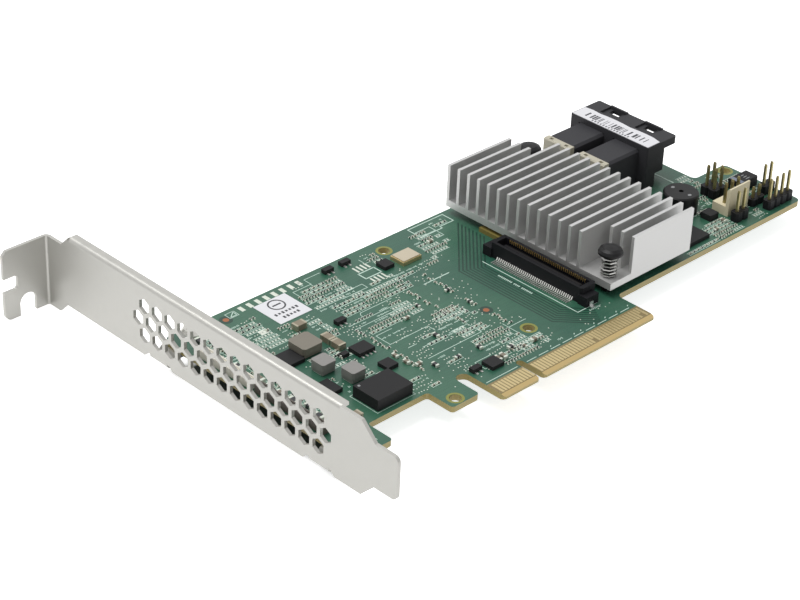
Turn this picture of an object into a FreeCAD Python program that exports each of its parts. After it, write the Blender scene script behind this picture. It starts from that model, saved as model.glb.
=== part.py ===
import FreeCAD, Part
import math
import os

import Sketcher
from FreeCAD import Placement, Rotation, Vector

# A storage controller card for a server slot. X runs along the board from the
# steel bracket to the far end, Y from the gold finger edge to the top edge and
# Z up from the component side. The origin is the middle of the key notch.

os.makedirs("parts", exist_ok=True)
doc = FreeCAD.newDocument("ControllerCard")
sheet = doc.addObject("Spreadsheet::Sheet", "Sizes")
rowCount = 0


class Size:
    """A number together with the sheet expression that gives it."""

    def __init__(self, value, text):
        self.value = float(value)
        self.text = text

    def _join(self, other, sign, value):
        text = other.text if isinstance(other, Size) else repr(float(other))
        return Size(value, "(%s %s %s)" % (self.text, sign, text))

    def __add__(self, other):
        return self._join(other, "+", self.value + number(other))

    def __sub__(self, other):
        return self._join(other, "-", self.value - number(other))

    def __mul__(self, other):
        return self._join(other, "*", self.value * number(other))

    def __truediv__(self, other):
        return self._join(other, "/", self.value / number(other))

    def __radd__(self, other):
        return Size(other + self.value, "(%r + %s)" % (float(other), self.text))

    def __rsub__(self, other):
        return Size(other - self.value, "(%r - %s)" % (float(other), self.text))

    def __rmul__(self, other):
        return self * other

    def __neg__(self):
        return 0.0 - self


def number(item):
    return item.value if isinstance(item, Size) else float(item)


def size(alias, value):
    """Writes one driving dimension into the sheet and hands it back."""
    global rowCount
    rowCount += 1
    sheet.set("A%d" % rowCount, alias)
    sheet.set("B%d" % rowCount, str(value))
    sheet.setAlias("B%d" % rowCount, alias)
    return Size(value, "Sizes." + alias)


# Board
boardLength = size("boardLength", 167.65)
boardHeight = size("boardHeight", 68.9)
boardThick = size("boardThick", 1.57)
farReach = size("farReach", 112.9)
cutBack = size("cutBack", 12.4)
cutBackFrom = size("cutBackFrom", 37.7)
boardCorner = size("boardCorner", 1.6)
shoulderRise = size("shoulderRise", 12.1)
keyWidth = size("keyWidth", 1.9)
keyDepth = size("keyDepth", 8.1)
shortTongue = size("shortTongue", 11.65)
longTongue = size("longTongue", 38.65)
tongueCorner = size("tongueCorner", 0.9)
slotWidth = size("slotWidth", 3.6)
slotDepth = size("slotDepth", 13.0)
tabWidth = size("tabWidth", 8.6)
tabFoot = size("tabFoot", 4.5)
tabCorner = size("tabCorner", 0.9)
bayEdge = size("bayEdge", 43.4)
bayRise = size("bayRise", 12.5)
bevelDepth = size("bevelDepth", 1.3)
bevelInset = size("bevelInset", 0.47)

# Gold contacts
contactPitch = size("contactPitch", 1.0)
contactWidth = size("contactWidth", 0.7)
contactFoot = size("contactFoot", 1.35)
contactLength = size("contactLength", 3.8)
contactThick = size("contactThick", 0.05)
contactInset = size("contactInset", 0.55)
senseShort = size("senseShort", 1.6)

# Holes in the board
tabHole = size("tabHole", 2.9)
mountHole = size("mountHole", 3.2)
topHoleX = size("topHoleX", 11.83)
topHoleDrop = size("topHoleDrop", 4.5)
lowHoleX = size("lowHoleX", 12.56)
lowHoleY = size("lowHoleY", 16.08)
farHoleIn = size("farHoleIn", 2.7)
farHoleDrop = size("farHoleDrop", 2.5)

# Bracket
bracketFace = size("bracketFace", 58.86)
sheetThick = size("sheetThick", 0.86)
bracketWidth = size("bracketWidth", 19.05)
bracketDrop = size("bracketDrop", 3.84)
bracketTip = size("bracketTip", 12.4)
flangeSeat = size("flangeSeat", 107.4)
flangeReach = size("flangeReach", 12.9)
bendInner = size("bendInner", 0.6)
neckDrop = size("neckDrop", 2.95)
neckStart = size("neckStart", 101.8)
neckStep = size("neckStep", 2.9)
tongueBase = size("tongueBase", 5.5)
tongueLift = size("tongueLift", 3.9)
tongueWide = size("tongueWide", 11.05)
tongueRound = size("tongueRound", 1.5)
lipReach = size("lipReach", 2.66)
lipStart = size("lipStart", 5.4)
lipBend = size("lipBend", 1.1)
screwNotch = size("screwNotch", 4.7)
screwNotchAt = size("screwNotchAt", 6.1)
screwNotchTop = size("screwNotchTop", 5.55)
pryNotch = size("pryNotch", 3.7)
pryRound = size("pryRound", 0.8)
pryNotchDeep = size("pryNotchDeep", 4.0)
pryNotchAt = size("pryNotchAt", 9.7)
flangeTrim = size("flangeTrim", 1.2)
flangeRound = size("flangeRound", 2.0)
cellPitch = size("cellPitch", 4.53)
cellFlat = size("cellFlat", 3.5)
cellFirst = size("cellFirst", 9.6)
cellRise = size("cellRise", 9.3)
cellCount = 14
earWidth = size("earWidth", 6.2)
earLow = size("earLow", 11.6)
earInset = size("earInset", 3.0)
earLength = size("earLength", 12.4)
earFlat = size("earFlat", 3.2)
earRun = size("earRun", 1.1)
reliefFlat = size("reliefFlat", 0.7)
reliefTall = size("reliefTall", 1.2)
screwShank = size("screwShank", 2.9)
screwHead = size("screwHead", 5.4)
screwHeadTall = size("screwHeadTall", 1.9)

# Controller package and heatsink
packageWide = size("packageWide", 31.0)
packageThick = size("packageThick", 1.2)
lidWide = size("lidWide", 24.0)
lidThick = size("lidThick", 0.7)
padThick = size("padThick", 0.2)
sinkLeft = size("sinkLeft", 37.2)
sinkLow = size("sinkLow", 12.4)
sinkLong = size("sinkLong", 30.0)
sinkWide = size("sinkWide", 55.6)
sinkBase = size("sinkBase", 1.9)
finTall = size("finTall", 10.0)
finThick = size("finThick", 0.9)
finCount = 17
cornerFins = 3
cornerClear = size("cornerClear", 7.5)
pinInX = size("pinInX", 2.95)
pinInY = size("pinInY", 3.3)
pinShaft = size("pinShaft", 2.5)
pinHole = size("pinHole", 3.2)
pinCap = size("pinCap", 6.2)
pinCapThick = size("pinCapThick", 1.7)
pinRise = size("pinRise", 7.8)
pinTail = size("pinTail", 2.6)
pinBarb = size("pinBarb", 3.9)
pinSlot = size("pinSlot", 0.7)
springOuter = size("springOuter", 4.3)
springWire = size("springWire", 0.36)
springTurns = 7

# Twin cable connector at the far end
portMid = size("portMid", 55.75)
portPitch = size("portPitch", 12.0)
shroudLeft = size("shroudLeft", 85.1)
shroudLong = size("shroudLong", 11.5)
shroudWide = size("shroudWide", 26.9)
shroudFoot = size("shroudFoot", 3.9)
shroudBrow = size("shroudBrow", 1.7)
shroudRise = size("shroudRise", 1.5)
shroudSlab = size("shroudSlab", 2.2)
shroudWaist = size("shroudWaist", 22.6)
shroudLift = size("shroudLift", 2.0)
portWide = size("portWide", 8.7)
portTall = size("portTall", 7.4)
portFloor = size("portFloor", 3.4)
portDeep = size("portDeep", 8.2)
portBodyLeft = size("portBodyLeft", 73.4)
portBodyWide = size("portBodyWide", 8.9)
portBodyTall = size("portBodyTall", 10.9)
coreWide = size("coreWide", 7.0)
coreTall = size("coreTall", 4.2)
coreLong = size("coreLong", 4.6)
coreSlot = size("coreSlot", 0.8)
latchWide = size("latchWide", 3.3)
latchLong = size("latchLong", 2.1)
latchRecess = size("latchRecess", 0.6)
latchRecessWide = size("latchRecessWide", 5.9)
latchRecessLong = size("latchRecessLong", 4.3)
latchRim = size("latchRim", 0.6)
organizerLong = size("organizerLong", 2.0)
organizerHole = size("organizerHole", 1.1)
organizerSpread = size("organizerSpread", 5.2)
tailPitch = size("tailPitch", 0.8)
tailCount = 9

# Board to board connector
stackLeft = size("stackLeft", 29.9)
stackWide = size("stackWide", 5.2)
stackLow = size("stackLow", 15.1)
stackLong = size("stackLong", 30.4)
stackTall = size("stackTall", 4.2)
stackSlot = size("stackSlot", 3.5)
stackWall = size("stackWall", 1.3)
stackBlade = size("stackBlade", 0.9)
stackSlotDeep = size("stackSlotDeep", 3.2)
stackEar = size("stackEar", 2.0)
stackEarTall = size("stackEarTall", 2.6)
stackPitch = size("stackPitch", 0.635)
stackLead = size("stackLead", 0.3)
stackLeadLong = size("stackLeadLong", 2.3)
stackLeadThick = size("stackLeadThick", 0.2)
stackLeadRise = size("stackLeadRise", 0.9)
stackCount = 40

# Pin headers
headerPitch = size("headerPitch", 2.54)
headerTall = size("headerTall", 2.54)
headerChamfer = size("headerChamfer", 0.5)
postWide = size("postWide", 0.64)
postTop = size("postTop", 8.5)
postTail = size("postTail", 3.0)
postTaper = size("postTaper", 0.6)
lowTop = size("lowTop", 5.2)
lowTall = size("lowTall", 2.0)
lockTall = size("lockTall", 2.6)
lockDeep = size("lockDeep", 5.2)
lockWall = size("lockWall", 1.0)
lockWallTop = size("lockWallTop", 7.8)
lockSlot = size("lockSlot", 0.8)

# Sounder
buzzerX = size("buzzerX", 84.3)
buzzerY = size("buzzerY", 29.6)
buzzerWide = size("buzzerWide", 9.3)
buzzerTall = size("buzzerTall", 5.5)
buzzerHole = size("buzzerHole", 1.3)

# Chip parts
terminalLong = size("terminalLong", 0.55)
chipGap = size("chipGap", 0.1)
leadThick = size("leadThick", 0.2)
leadReach = size("leadReach", 0.9)

# Places and sizes of the separate parts
lockX = size("lockX", 92.3)
lockY = size("lockY", 21.5)
terminalThick = size("terminalThick", 0.15)
coilLarge = size("coilLarge", 6.1)
coilLargeTall = size("coilLargeTall", 2.8)
coilSmall = size("coilSmall", 4.3)
coilSmallTall = size("coilSmallTall", 3.0)
tantX = size("tantX", 106.7)
tantY = size("tantY", 26.7)
tantLong = size("tantLong", 7.2)
tantWide = size("tantWide", 4.2)
tantTall = size("tantTall", 2.9)
flashTall = size("flashTall", 2.9)
memoryTall = size("memoryTall", 1.1)
oscX = size("oscX", 10.1)
oscDrop = size("oscDrop", 13.1)
oscLong = size("oscLong", 6.3)
oscWide = size("oscWide", 4.7)
oscTall = size("oscTall", 0.9)
plainTall = size("plainTall", 1.0)
smallTall = size("smallTall", 1.0)
soicLong = size("soicLong", 4.9)
soicWide = size("soicWide", 3.9)
sotLong = size("sotLong", 2.9)
sotWide = size("sotWide", 1.5)
capLong = size("capLong", 3.2)
capWide = size("capWide", 2.1)
capTall = size("capTall", 1.5)
labelThick = size("labelThick", 0.1)
portLabelLong = size("portLabelLong", 5.2)
portLabelInset = size("portLabelInset", 0.3)
portLabelWave = size("portLabelWave", 0.35)
backFirst = size("backFirst", 4.0)
backStep = size("backStep", 13.0)
backGap = size("backGap", 62.0)
backRow = size("backRow", 34.0)
backLong = size("backLong", 9.0)
backWide = size("backWide", 13.0)
squareX = size("squareX", 96.33)
squareY = size("squareY", 28.03)
edgeX = size("edgeX", 102.75)
edgeY = size("edgeY", 15.0)
smallX = size("smallX", 91.2)
smallY = size("smallY", 16.45)
lowX = size("lowX", 101.0)
lowY = size("lowY", 18.95)
rearX = size("rearX", 108.1)
rearY = size("rearY", 21.0)
coilLargeX = size("coilLargeX", -33.8)
coilLargeY = size("coilLargeY", 43.4)
coilAX = size("coilAX", -36.2)
coilAY = size("coilAY", 34.65)
coilBX = size("coilBX", -33.35)
coilBY = size("coilBY", 27.75)
flashX = size("flashX", -38.5)
flashY = size("flashY", 14.4)
flashLong = size("flashLong", 10.9)
flashWide = size("flashWide", 8.1)
memoryX = size("memoryX", 70.0)
memoryY = size("memoryY", 15.2)
memoryLong = size("memoryLong", 8.9)
memoryWide = size("memoryWide", 11.2)
oscLidTall = size("oscLidTall", 0.3)
labelX = size("labelX", -30.4)
labelDrop = size("labelDrop", 13.4)
labelLong = size("labelLong", 10.0)
labelWide = size("labelWide", 10.0)

sheet.recompute()
doc.recompute()

half = 0.5
bottom = -boardThick
outerX = -bracketFace
innerX = outerX + sheetThick
bracketLow = -bracketDrop
bracketTop = bracketLow + bracketWidth
neckLow = bracketLow - neckDrop
neckTop = bracketTop - neckDrop
farCut = farReach - cutBack
boardLeft = farReach - boardLength
keyHalf = keyWidth * half
shroudTop = portBodyTall + shroudRise
packageLeft = sinkLeft + (sinkLong - packageWide) * half
packageLow = sinkLow + (sinkWide - packageWide) * half


def newBody(label):
    body = doc.addObject("PartDesign::Body", label)
    body.Label = label
    return body


def onPlane(body, name, role, offset=0.0):
    """A sketch on one of the body's own origin planes, moved out by offset."""
    sketch = body.newObject("Sketcher::SketchObject", name)
    plane = [f for f in body.Origin.OriginFeatures if f.Role == role][0]
    sketch.AttachmentSupport = [(plane, "")]
    sketch.MapMode = "FlatFace"
    sketch.AttachmentOffset = Placement(Vector(0, 0, number(offset)), Rotation())
    if isinstance(offset, Size):
        sketch.setExpression(".AttachmentOffset.Base.z", offset.text)
    return sketch


def bind(sketch, kind, first, firstEnd, second, secondEnd, item):
    place = sketch.addConstraint(
        Sketcher.Constraint(kind, first, firstEnd, second, secondEnd, number(item)))
    if isinstance(item, Size):
        sketch.setExpression("Constraints[%d]" % place, item.text)


def outline(sketch, points, arcs=None):
    """A closed outline whose corners are all tied to the sheet. Where arcs names a
    side by its number, that side is an arc round the given centre and radius."""
    arcs = arcs or {}
    first = sketch.GeometryCount
    count = len(points)
    spots = [Vector(number(a), number(b), 0) for a, b in points]
    ends = []
    for i in range(count):
        start, stop = spots[i], spots[(i + 1) % count]
        if i not in arcs:
            sketch.addGeometry(Part.LineSegment(start, stop), False)
            ends.append((1, 2))
            continue
        middle = Vector(number(arcs[i][0]), number(arcs[i][1]), 0)
        a, b = start - middle, stop - middle
        forward = a.x * b.y - a.y * b.x > 0
        if not forward:
            a, b = b, a
        round_ = Part.Circle(middle, Vector(0, 0, 1), number(arcs[i][2]))
        sketch.addGeometry(
            Part.ArcOfCircle(round_, math.atan2(a.y, a.x), math.atan2(b.y, b.x)), False)
        ends.append((1, 2) if forward else (2, 1))
    for i in range(count):
        after = (i + 1) % count
        sketch.addConstraint(Sketcher.Constraint(
            "Coincident", first + i, ends[i][1], first + after, ends[after][0]))
        bind(sketch, "DistanceX", -1, 1, first + i, ends[i][0], points[i][0])
        bind(sketch, "DistanceY", -1, 1, first + i, ends[i][0], points[i][1])
    for i, (_, _, radius) in arcs.items():
        place_ = sketch.addConstraint(Sketcher.Constraint("Radius", first + i, number(radius)))
        if isinstance(radius, Size):
            sketch.setExpression("Constraints[%d]" % place_, radius.text)


def rectangle(sketch, x, y, wide, tall):
    outline(sketch, [(x, y), (x + wide, y), (x + wide, y + tall), (x, y + tall)])


def circle(sketch, x, y, across):
    place = sketch.addGeometry(
        Part.Circle(Vector(number(x), number(y), 0), Vector(0, 0, 1), number(across) / 2), False)
    bind(sketch, "DistanceX", -1, 1, place, 3, x)
    bind(sketch, "DistanceY", -1, 1, place, 3, y)
    row = sketch.addConstraint(Sketcher.Constraint("Diameter", place, number(across)))
    if isinstance(across, Size):
        sketch.setExpression("Constraints[%d]" % row, across.text)


def pad(body, sketch, length, reverse=False):
    feature = body.newObject("PartDesign::Pad", sketch.Name + "Pad")
    feature.Profile = sketch
    feature.Length = number(length)
    if isinstance(length, Size):
        feature.setExpression("Length", length.text)
    feature.Reversed = reverse
    doc.recompute()
    return feature


def pocket(body, sketch, length, reverse=False):
    """A pocket that must take material away, or the source stops."""
    before = body.Shape.Volume
    feature = body.newObject("PartDesign::Pocket", sketch.Name + "Pocket")
    feature.Profile = sketch
    feature.Length = number(length)
    if isinstance(length, Size):
        feature.setExpression("Length", length.text)
    feature.Reversed = reverse
    doc.recompute()
    if body.Shape.Volume >= before - 1e-9:
        raise ValueError("nothing cut by " + feature.Name)
    return feature


def row(body, feature, sketch, axis, step, count):
    pattern = body.newObject("PartDesign::LinearPattern", feature.Name + "Row")
    pattern.Originals = [feature]
    pattern.Direction = (sketch, [axis])
    pattern.Mode = "Spacing"
    pattern.Offset = number(step)
    if isinstance(step, Size):
        pattern.setExpression("Offset", step.text)
    pattern.Occurrences = count
    body.Tip = pattern
    doc.recompute()
    return pattern


def edgesThrough(shape, spots):
    """Names of the edges whose middle lies at one of the given spots, where None is any value."""
    names = []
    for i, edge in enumerate(shape.Edges):
        middle = edge.valueAt((edge.FirstParameter + edge.LastParameter) / 2)
        for spot in spots:
            if all(w is None or abs(number(w) - m) < 0.02
                   for w, m in zip(spot, (middle.x, middle.y, middle.z))):
                names.append("Edge%d" % (i + 1))
                break
    return names


def dress(body, kind, tool, spots, amount):
    base = body.Tip
    names = edgesThrough(base.Shape, spots)
    if len(names) < len(spots):
        raise ValueError("edge missing for " + tool)
    feature = body.newObject("PartDesign::" + kind, tool)
    feature.Base = (base, names)
    field = "Radius" if kind == "Fillet" else "Size"
    setattr(feature, field, number(amount))
    if isinstance(amount, Size):
        feature.setExpression(field, amount.text)
    doc.recompute()
    return feature


def place(thing, x, y, z):
    thing.Placement = Placement(Vector(number(x), number(y), number(z)), Rotation())
    for axis, item in (("x", x), ("y", y), ("z", z)):
        if isinstance(item, Size):
            thing.setExpression(".Placement.Base." + axis, item.text)


def block(name, x, y, z, long, wide, tall):
    thing = doc.addObject("Part::Box", name)
    for field, item in (("Length", long), ("Width", wide), ("Height", tall)):
        setattr(thing, field, number(item))
        if isinstance(item, Size):
            thing.setExpression(field, item.text)
    place(thing, x, y, z)
    return thing


def together(label, things):
    """Like pieces that share one node, each a solid of its own."""
    group = doc.addObject("Part::Compound", label)
    group.Label = label
    group.Links = things
    return group


subParts = []


def keep(thing):
    subParts.append(thing)
    return thing


# The board: outline with both tongues, the key, the slot beside them, the tab,
# the open bay by the bracket and the step at the far end.
shortEnd = -(keyHalf + shortTongue)
longEnd = keyHalf + longTongue
slotFar = shortEnd - slotWidth
tabFar = slotFar - tabWidth
slotRound = slotDepth - slotWidth * half
keyRound = keyDepth - keyHalf

board = newBody("circuit_board")
boardSketch = onPlane(board, "boardOutline", "XY_Plane", bottom)
outline(boardSketch, [
    (boardLeft, tabFoot), (-bayEdge, tabFoot), (-bayEdge, bayRise), (tabFar, bayRise),
    (tabFar, tabFoot), (slotFar, tabFoot), (slotFar, slotRound), (shortEnd, slotRound),
    (shortEnd, 0.0), (-keyHalf, 0.0), (-keyHalf, keyRound), (keyHalf, keyRound),
    (keyHalf, 0.0), (longEnd, 0.0), (longEnd, shoulderRise), (farReach, shoulderRise),
    (farReach, cutBackFrom), (farCut, cutBackFrom), (farCut, boardHeight),
    (boardLeft, boardHeight)])
pad(board, boardSketch, boardThick)
dress(board, "Fillet", "boardCorners",
      [(farReach, cutBackFrom, None), (farReach, shoulderRise, None),
       (longEnd, shoulderRise, None), (farCut, boardHeight, None),
       (farCut, cutBackFrom, None), (boardLeft, boardHeight, None)], boardCorner)
dress(board, "Chamfer", "tongueCorners",
      [(shortEnd, 0.0, None), (longEnd, 0.0, None), (-keyHalf, 0.0, None),
       (keyHalf, 0.0, None)], tongueCorner * half)
dress(board, "Fillet", "tabCorners",
      [(tabFar, tabFoot, None), (slotFar, tabFoot, None), (tabFar, bayRise, None),
       (-bayEdge, bayRise, None), (-bayEdge, tabFoot, None)], tabCorner)

# Round ends of the key and the slot, and every hole through the board
pinFrontX = sinkLeft + pinInX
pinFrontY = sinkLow + pinInY
pinBackX = sinkLeft + sinkLong - pinInX
pinBackY = sinkLow + sinkWide - pinInY
earTop = boardHeight - earInset
screwX = innerX + earLength - earFlat
roundSketch = onPlane(board, "roundEnds", "XY_Plane", bottom)
circle(roundSketch, (shortEnd + slotFar) * half, slotRound, slotWidth - 0.002)
circle(roundSketch, 0.0, keyRound, keyWidth - 0.002)
circle(roundSketch, tabFar + tabWidth * 0.37, tabFoot + tabHole * 0.8, tabHole)
for spotX, spotY in ((topHoleX, boardHeight - topHoleDrop), (lowHoleX, lowHoleY),
                     (farReach - farHoleIn, cutBackFrom - farHoleDrop)):
    circle(roundSketch, spotX, spotY, mountHole * 0.9)
for spotY in (earLow, earTop):
    circle(roundSketch, screwX, spotY, mountHole)
for spotX, spotY in ((pinFrontX, pinFrontY), (pinBackX, pinBackY)):
    circle(roundSketch, spotX, spotY, pinShaft + 0.3)
pocket(board, roundSketch, boardThick, True)

# The 20 degree bevel on both faces of the tongues
for side, level, edge in (("Top", 0.0, -bevelInset), ("Under", bottom, bottom + bevelInset)):
    bevelSketch = onPlane(board, "bevel" + side, "YZ_Plane", shortEnd - 1.0)
    outline(bevelSketch, [(-1.0, level), (bevelDepth, level), (0.0, edge), (-1.0, edge)])
    pocket(board, bevelSketch, shortTongue + longTongue + keyWidth + 2.0, True)
keep(board)

# Gold contacts, 49 a side. Two on the component side are the short sense ones.
contacts = []
shortSense = (31, 48)
for k in range(49):
    if k < 11:
        middle = -(keyHalf + contactInset + contactPitch * (10 - k))
    else:
        middle = keyHalf + contactInset + contactPitch * (k - 11)
    for side in ("B", "A"):
        small = (side == "B" and k + 1 in shortSense) or (side == "A" and k == 0)
        foot = contactFoot + senseShort if small else contactFoot
        long = contactLength - senseShort if small else contactLength
        level = 0.0 if side == "B" else bottom - contactThick
        contacts.append(block("contact%s%d" % (side, k + 1), middle - contactWidth * half, foot,
                              level, contactWidth, long, contactThick))
keep(together("edge_contacts", contacts))

# The steel bracket: plate, neck and flange, folded lip, two ears under the board
bracket = newBody("bracket")
plateSketch = onPlane(bracket, "bracketPlate", "YZ_Plane", outerX)
bendY = flangeSeat - bendInner
lipEnd = neckStart - neckStep
lipFoot = bracketTop - lipBend
outline(plateSketch, [
    (bendY, neckLow), (bendY, neckTop), (neckStart, neckTop), (lipEnd, bracketTop),
    (lipEnd, lipFoot), (lipStart, lipFoot), (lipStart, bracketTop),
    (tongueBase - tongueLift - tongueLift + 1.1, bracketTop),
    (-tongueBase, bracketLow + tongueLift + tongueWide),
    (-bracketTip, bracketLow + tongueLift + tongueWide),
    (-bracketTip, bracketLow + tongueLift), (-tongueBase, bracketLow + tongueLift),
    (tongueLift - tongueBase, bracketLow), (neckStart - neckStep + 1.3, bracketLow),
    (neckStart + 1.3, neckLow)])
pad(bracket, plateSketch, sheetThick)
dress(bracket, "Fillet", "tongueRounds",
      [(None, -bracketTip, bracketLow + tongueLift),
       (None, -bracketTip, bracketLow + tongueLift + tongueWide)], tongueRound)

foldSketch = onPlane(bracket, "flangeFold", "XY_Plane", neckLow)
flangeTop = flangeSeat + sheetThick
flangeEnd = outerX - flangeReach
outline(foldSketch, [
    (outerX, bendY), (innerX, bendY), (innerX, flangeTop), (flangeEnd, flangeTop),
    (flangeEnd, flangeSeat), (outerX, flangeSeat)])
pad(bracket, foldSketch, bracketWidth)
dress(bracket, "Fillet", "foldInner", [(outerX, flangeSeat, None)], bendInner)
dress(bracket, "Fillet", "foldOuter", [(innerX, flangeTop, None)], bendInner + sheetThick)
dress(bracket, "Chamfer", "flangeCorner", [(flangeEnd, None, neckTop)], flangeTrim)
dress(bracket, "Fillet", "flangeRounds", [(flangeEnd, None, neckLow)], flangeRound)

# Screw notch, open below, and the notch in the outer end of the flange
notchX = outerX - screwNotchAt
notchZ = neckLow + screwNotchTop - screwNotch * half
notchSketch = onPlane(bracket, "screwNotch", "XZ_Plane", -flangeTop)
rectangle(notchSketch, notchX - screwNotch * half, neckLow - 1.0, screwNotch,
          notchZ - neckLow + 1.0)
pocket(bracket, notchSketch, sheetThick * 3, True)
roundNotch = onPlane(bracket, "screwNotchRound", "XZ_Plane", -flangeTop)
circle(roundNotch, notchX, notchZ, screwNotch - 0.002)
pocket(bracket, roundNotch, sheetThick * 3, True)
prySketch = onPlane(bracket, "pryNotch", "XZ_Plane", -flangeTop)
rectangle(prySketch, flangeEnd - 1.0, neckLow + pryNotchAt - pryNotch * half, pryNotchDeep + 1.0,
          pryNotch)
pocket(bracket, prySketch, sheetThick * 3, True)
pryEnd = flangeEnd + pryNotchDeep
pryFoot = neckLow + pryNotchAt - pryNotch * half
dress(bracket, "Fillet", "pryRounds",
      [(pryEnd, None, pryFoot), (pryEnd, None, pryFoot + pryNotch)], pryRound)

# The lip folded back along the upper long edge
lipSketch = onPlane(bracket, "lip", "XZ_Plane", -lipEnd)
lipMidX = outerX + lipBend
outline(lipSketch, [
    (outerX, lipFoot), (lipMidX, bracketTop), (outerX + lipReach, bracketTop),
    (outerX + lipReach, bracketTop - sheetThick), (lipMidX, bracketTop - sheetThick),
    (innerX, lipFoot)],
    {0: (lipMidX, lipFoot, lipBend), 4: (lipMidX, lipFoot, lipBend - sheetThick)})
pad(bracket, lipSketch, lipEnd - lipStart)

# Each ear leaves the lower edge, rises beside the board and lies flat under it
earTopZ = bottom
for name, middle in (("Low", earLow), ("High", earTop)):
    earSketch = onPlane(bracket, "ear" + name, "XZ_Plane", -(middle + earWidth * half))
    riseX = innerX + earRun
    padX = riseX + (earTopZ - bracketLow - sheetThick)
    earFloor = bracketLow + sheetThick
    outline(earSketch, [
        (outerX, bracketLow), (riseX + sheetThick * 0.4, bracketLow),
        (padX + sheetThick * 0.4, earTopZ - sheetThick),
        (innerX + earLength, earTopZ - sheetThick), (innerX + earLength, earTopZ),
        (padX, earTopZ), (riseX, earFloor), (outerX, earFloor)])
    pad(bracket, earSketch, earWidth)
    for tag, away in (("A", -1), ("B", 1)):
        reliefSketch = onPlane(bracket, "relief" + name + tag, "YZ_Plane", outerX)
        side = middle + earWidth * half * away
        outline(reliefSketch, [
            (side, bracketLow), (side, bracketLow + reliefTall),
            (side + reliefFlat * away, bracketLow + reliefTall),
            (side + (reliefFlat + reliefTall) * away, bracketLow)])
        pocket(bracket, reliefSketch, sheetThick, True)
    dress(bracket, "Fillet", "earFold" + name, [(outerX, middle, bracketLow)], lipBend)
    holeSketch = onPlane(bracket, "earHole" + name, "XY_Plane", earTopZ - sheetThick)
    circle(holeSketch, screwX, middle, screwShank)
    pocket(bracket, holeSketch, sheetThick, True)

# The vent: three staggered rows of six sided holes, 14, 15 and 14 of them
cellHalf = cellFlat * half
cellSide = cellFlat * 0.57735
rowStep = cellPitch * 0.8660254
for level, name in enumerate(("Low", "Middle", "High")):
    middleY = cellFirst if level == 1 else cellFirst + cellPitch * half
    middleZ = bracketLow + cellRise + rowStep * (level - 1)
    cellSketch = onPlane(bracket, "cell" + name, "YZ_Plane", outerX)
    outline(cellSketch, [
        (middleY - cellHalf, middleZ - cellSide * half), (middleY, middleZ - cellSide),
        (middleY + cellHalf, middleZ - cellSide * half), (middleY + cellHalf, middleZ + cellSide * half),
        (middleY, middleZ + cellSide), (middleY - cellHalf, middleZ + cellSide * half)])
    hole = pocket(bracket, cellSketch, sheetThick, True)
    row(bracket, hole, cellSketch, "H_Axis", cellPitch, cellCount + (1 if level == 1 else 0))
keep(bracket)

# Two pan head screws go down through the board into the ears
screws = []
for name, middle in (("Low", earLow), ("High", earTop)):
    screw = newBody("screw" + name)
    turned = onPlane(screw, "screwTurn" + name, "XZ_Plane", 0.0)
    headR = screwHead * half
    shankR = screwShank * half
    outline(turned, [
        (0.0, bottom - sheetThick), (shankR, bottom - sheetThick), (shankR, 0.0), (headR, 0.0),
        (headR, screwHeadTall * 0.55), (headR * 0.76, screwHeadTall), (0.0, screwHeadTall)])
    turn = screw.newObject("PartDesign::Revolution", "screwBody" + name)
    turn.Profile = turned
    turn.ReferenceAxis = (turned, ["V_Axis"])
    turn.Angle = 360
    place(screw, screwX, middle, 0.0)
    doc.recompute()
    driveSketch = onPlane(screw, "screwCross" + name, "XY_Plane", screwHeadTall)
    arm = screwHead * 0.28
    thin = screwHead * 0.07
    outline(driveSketch, [
        (-arm, -thin), (-thin, -thin), (-thin, -arm), (thin, -arm), (thin, -thin), (arm, -thin),
        (arm, thin), (thin, thin), (thin, arm), (-thin, arm), (-thin, thin), (-arm, thin)])
    pocket(screw, driveSketch, screwHeadTall * 0.5)
    screws.append(screw)
keep(together("bracket_screws", screws))

# Controller package under the heatsink
packageMidX = packageLeft + packageWide * half
packageMidY = packageLow + packageWide * half
keep(block("controller_substrate", packageLeft, packageLow, 0.0, packageWide, packageWide,
           packageThick))
lidX = packageMidX - lidWide * half
lidY = packageMidY - lidWide * half
keep(block("controller_lid", lidX, lidY, packageThick, lidWide, lidWide, lidThick))
lidTop = packageThick + lidThick
keep(block("thermal_pad", lidX, lidY, lidTop, lidWide, lidWide, padThick))

# Heatsink: base, seventeen plate fins, two corners cleared for the push pins
sinkLevel = lidTop + padThick
sink = newBody("heatsink")
baseSketch = onPlane(sink, "sinkBase", "XY_Plane", sinkLevel)
rectangle(baseSketch, sinkLeft, sinkLow, sinkLong, sinkWide)
pad(sink, baseSketch, sinkBase)
finLevel = sinkLevel + sinkBase
finPitch = (sinkWide - finThick) / (finCount - 1)
finSketch = onPlane(sink, "fin", "XY_Plane", finLevel)
rectangle(finSketch, sinkLeft, sinkLow, sinkLong, finThick)
firstFin = pad(sink, finSketch, finTall)
row(sink, firstFin, finSketch, "V_Axis", finPitch, finCount)
clearSketch = onPlane(sink, "pinCorners", "XY_Plane", finLevel)
clearWide = finPitch * cornerFins
rectangle(clearSketch, sinkLeft - 1.0, sinkLow - 1.0, cornerClear + 1.0, clearWide + 1.0)
rectangle(clearSketch, sinkLeft + sinkLong - cornerClear, sinkLow + sinkWide - clearWide,
          cornerClear + 1.0, clearWide + 1.0)
pocket(sink, clearSketch, finTall, True)
sinkHoles = onPlane(sink, "sinkHoles", "XY_Plane", sinkLevel)
circle(sinkHoles, pinFrontX, pinFrontY, pinHole)
circle(sinkHoles, pinBackX, pinBackY, pinHole)
pocket(sink, sinkHoles, sinkBase, True)
keep(sink)

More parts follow.
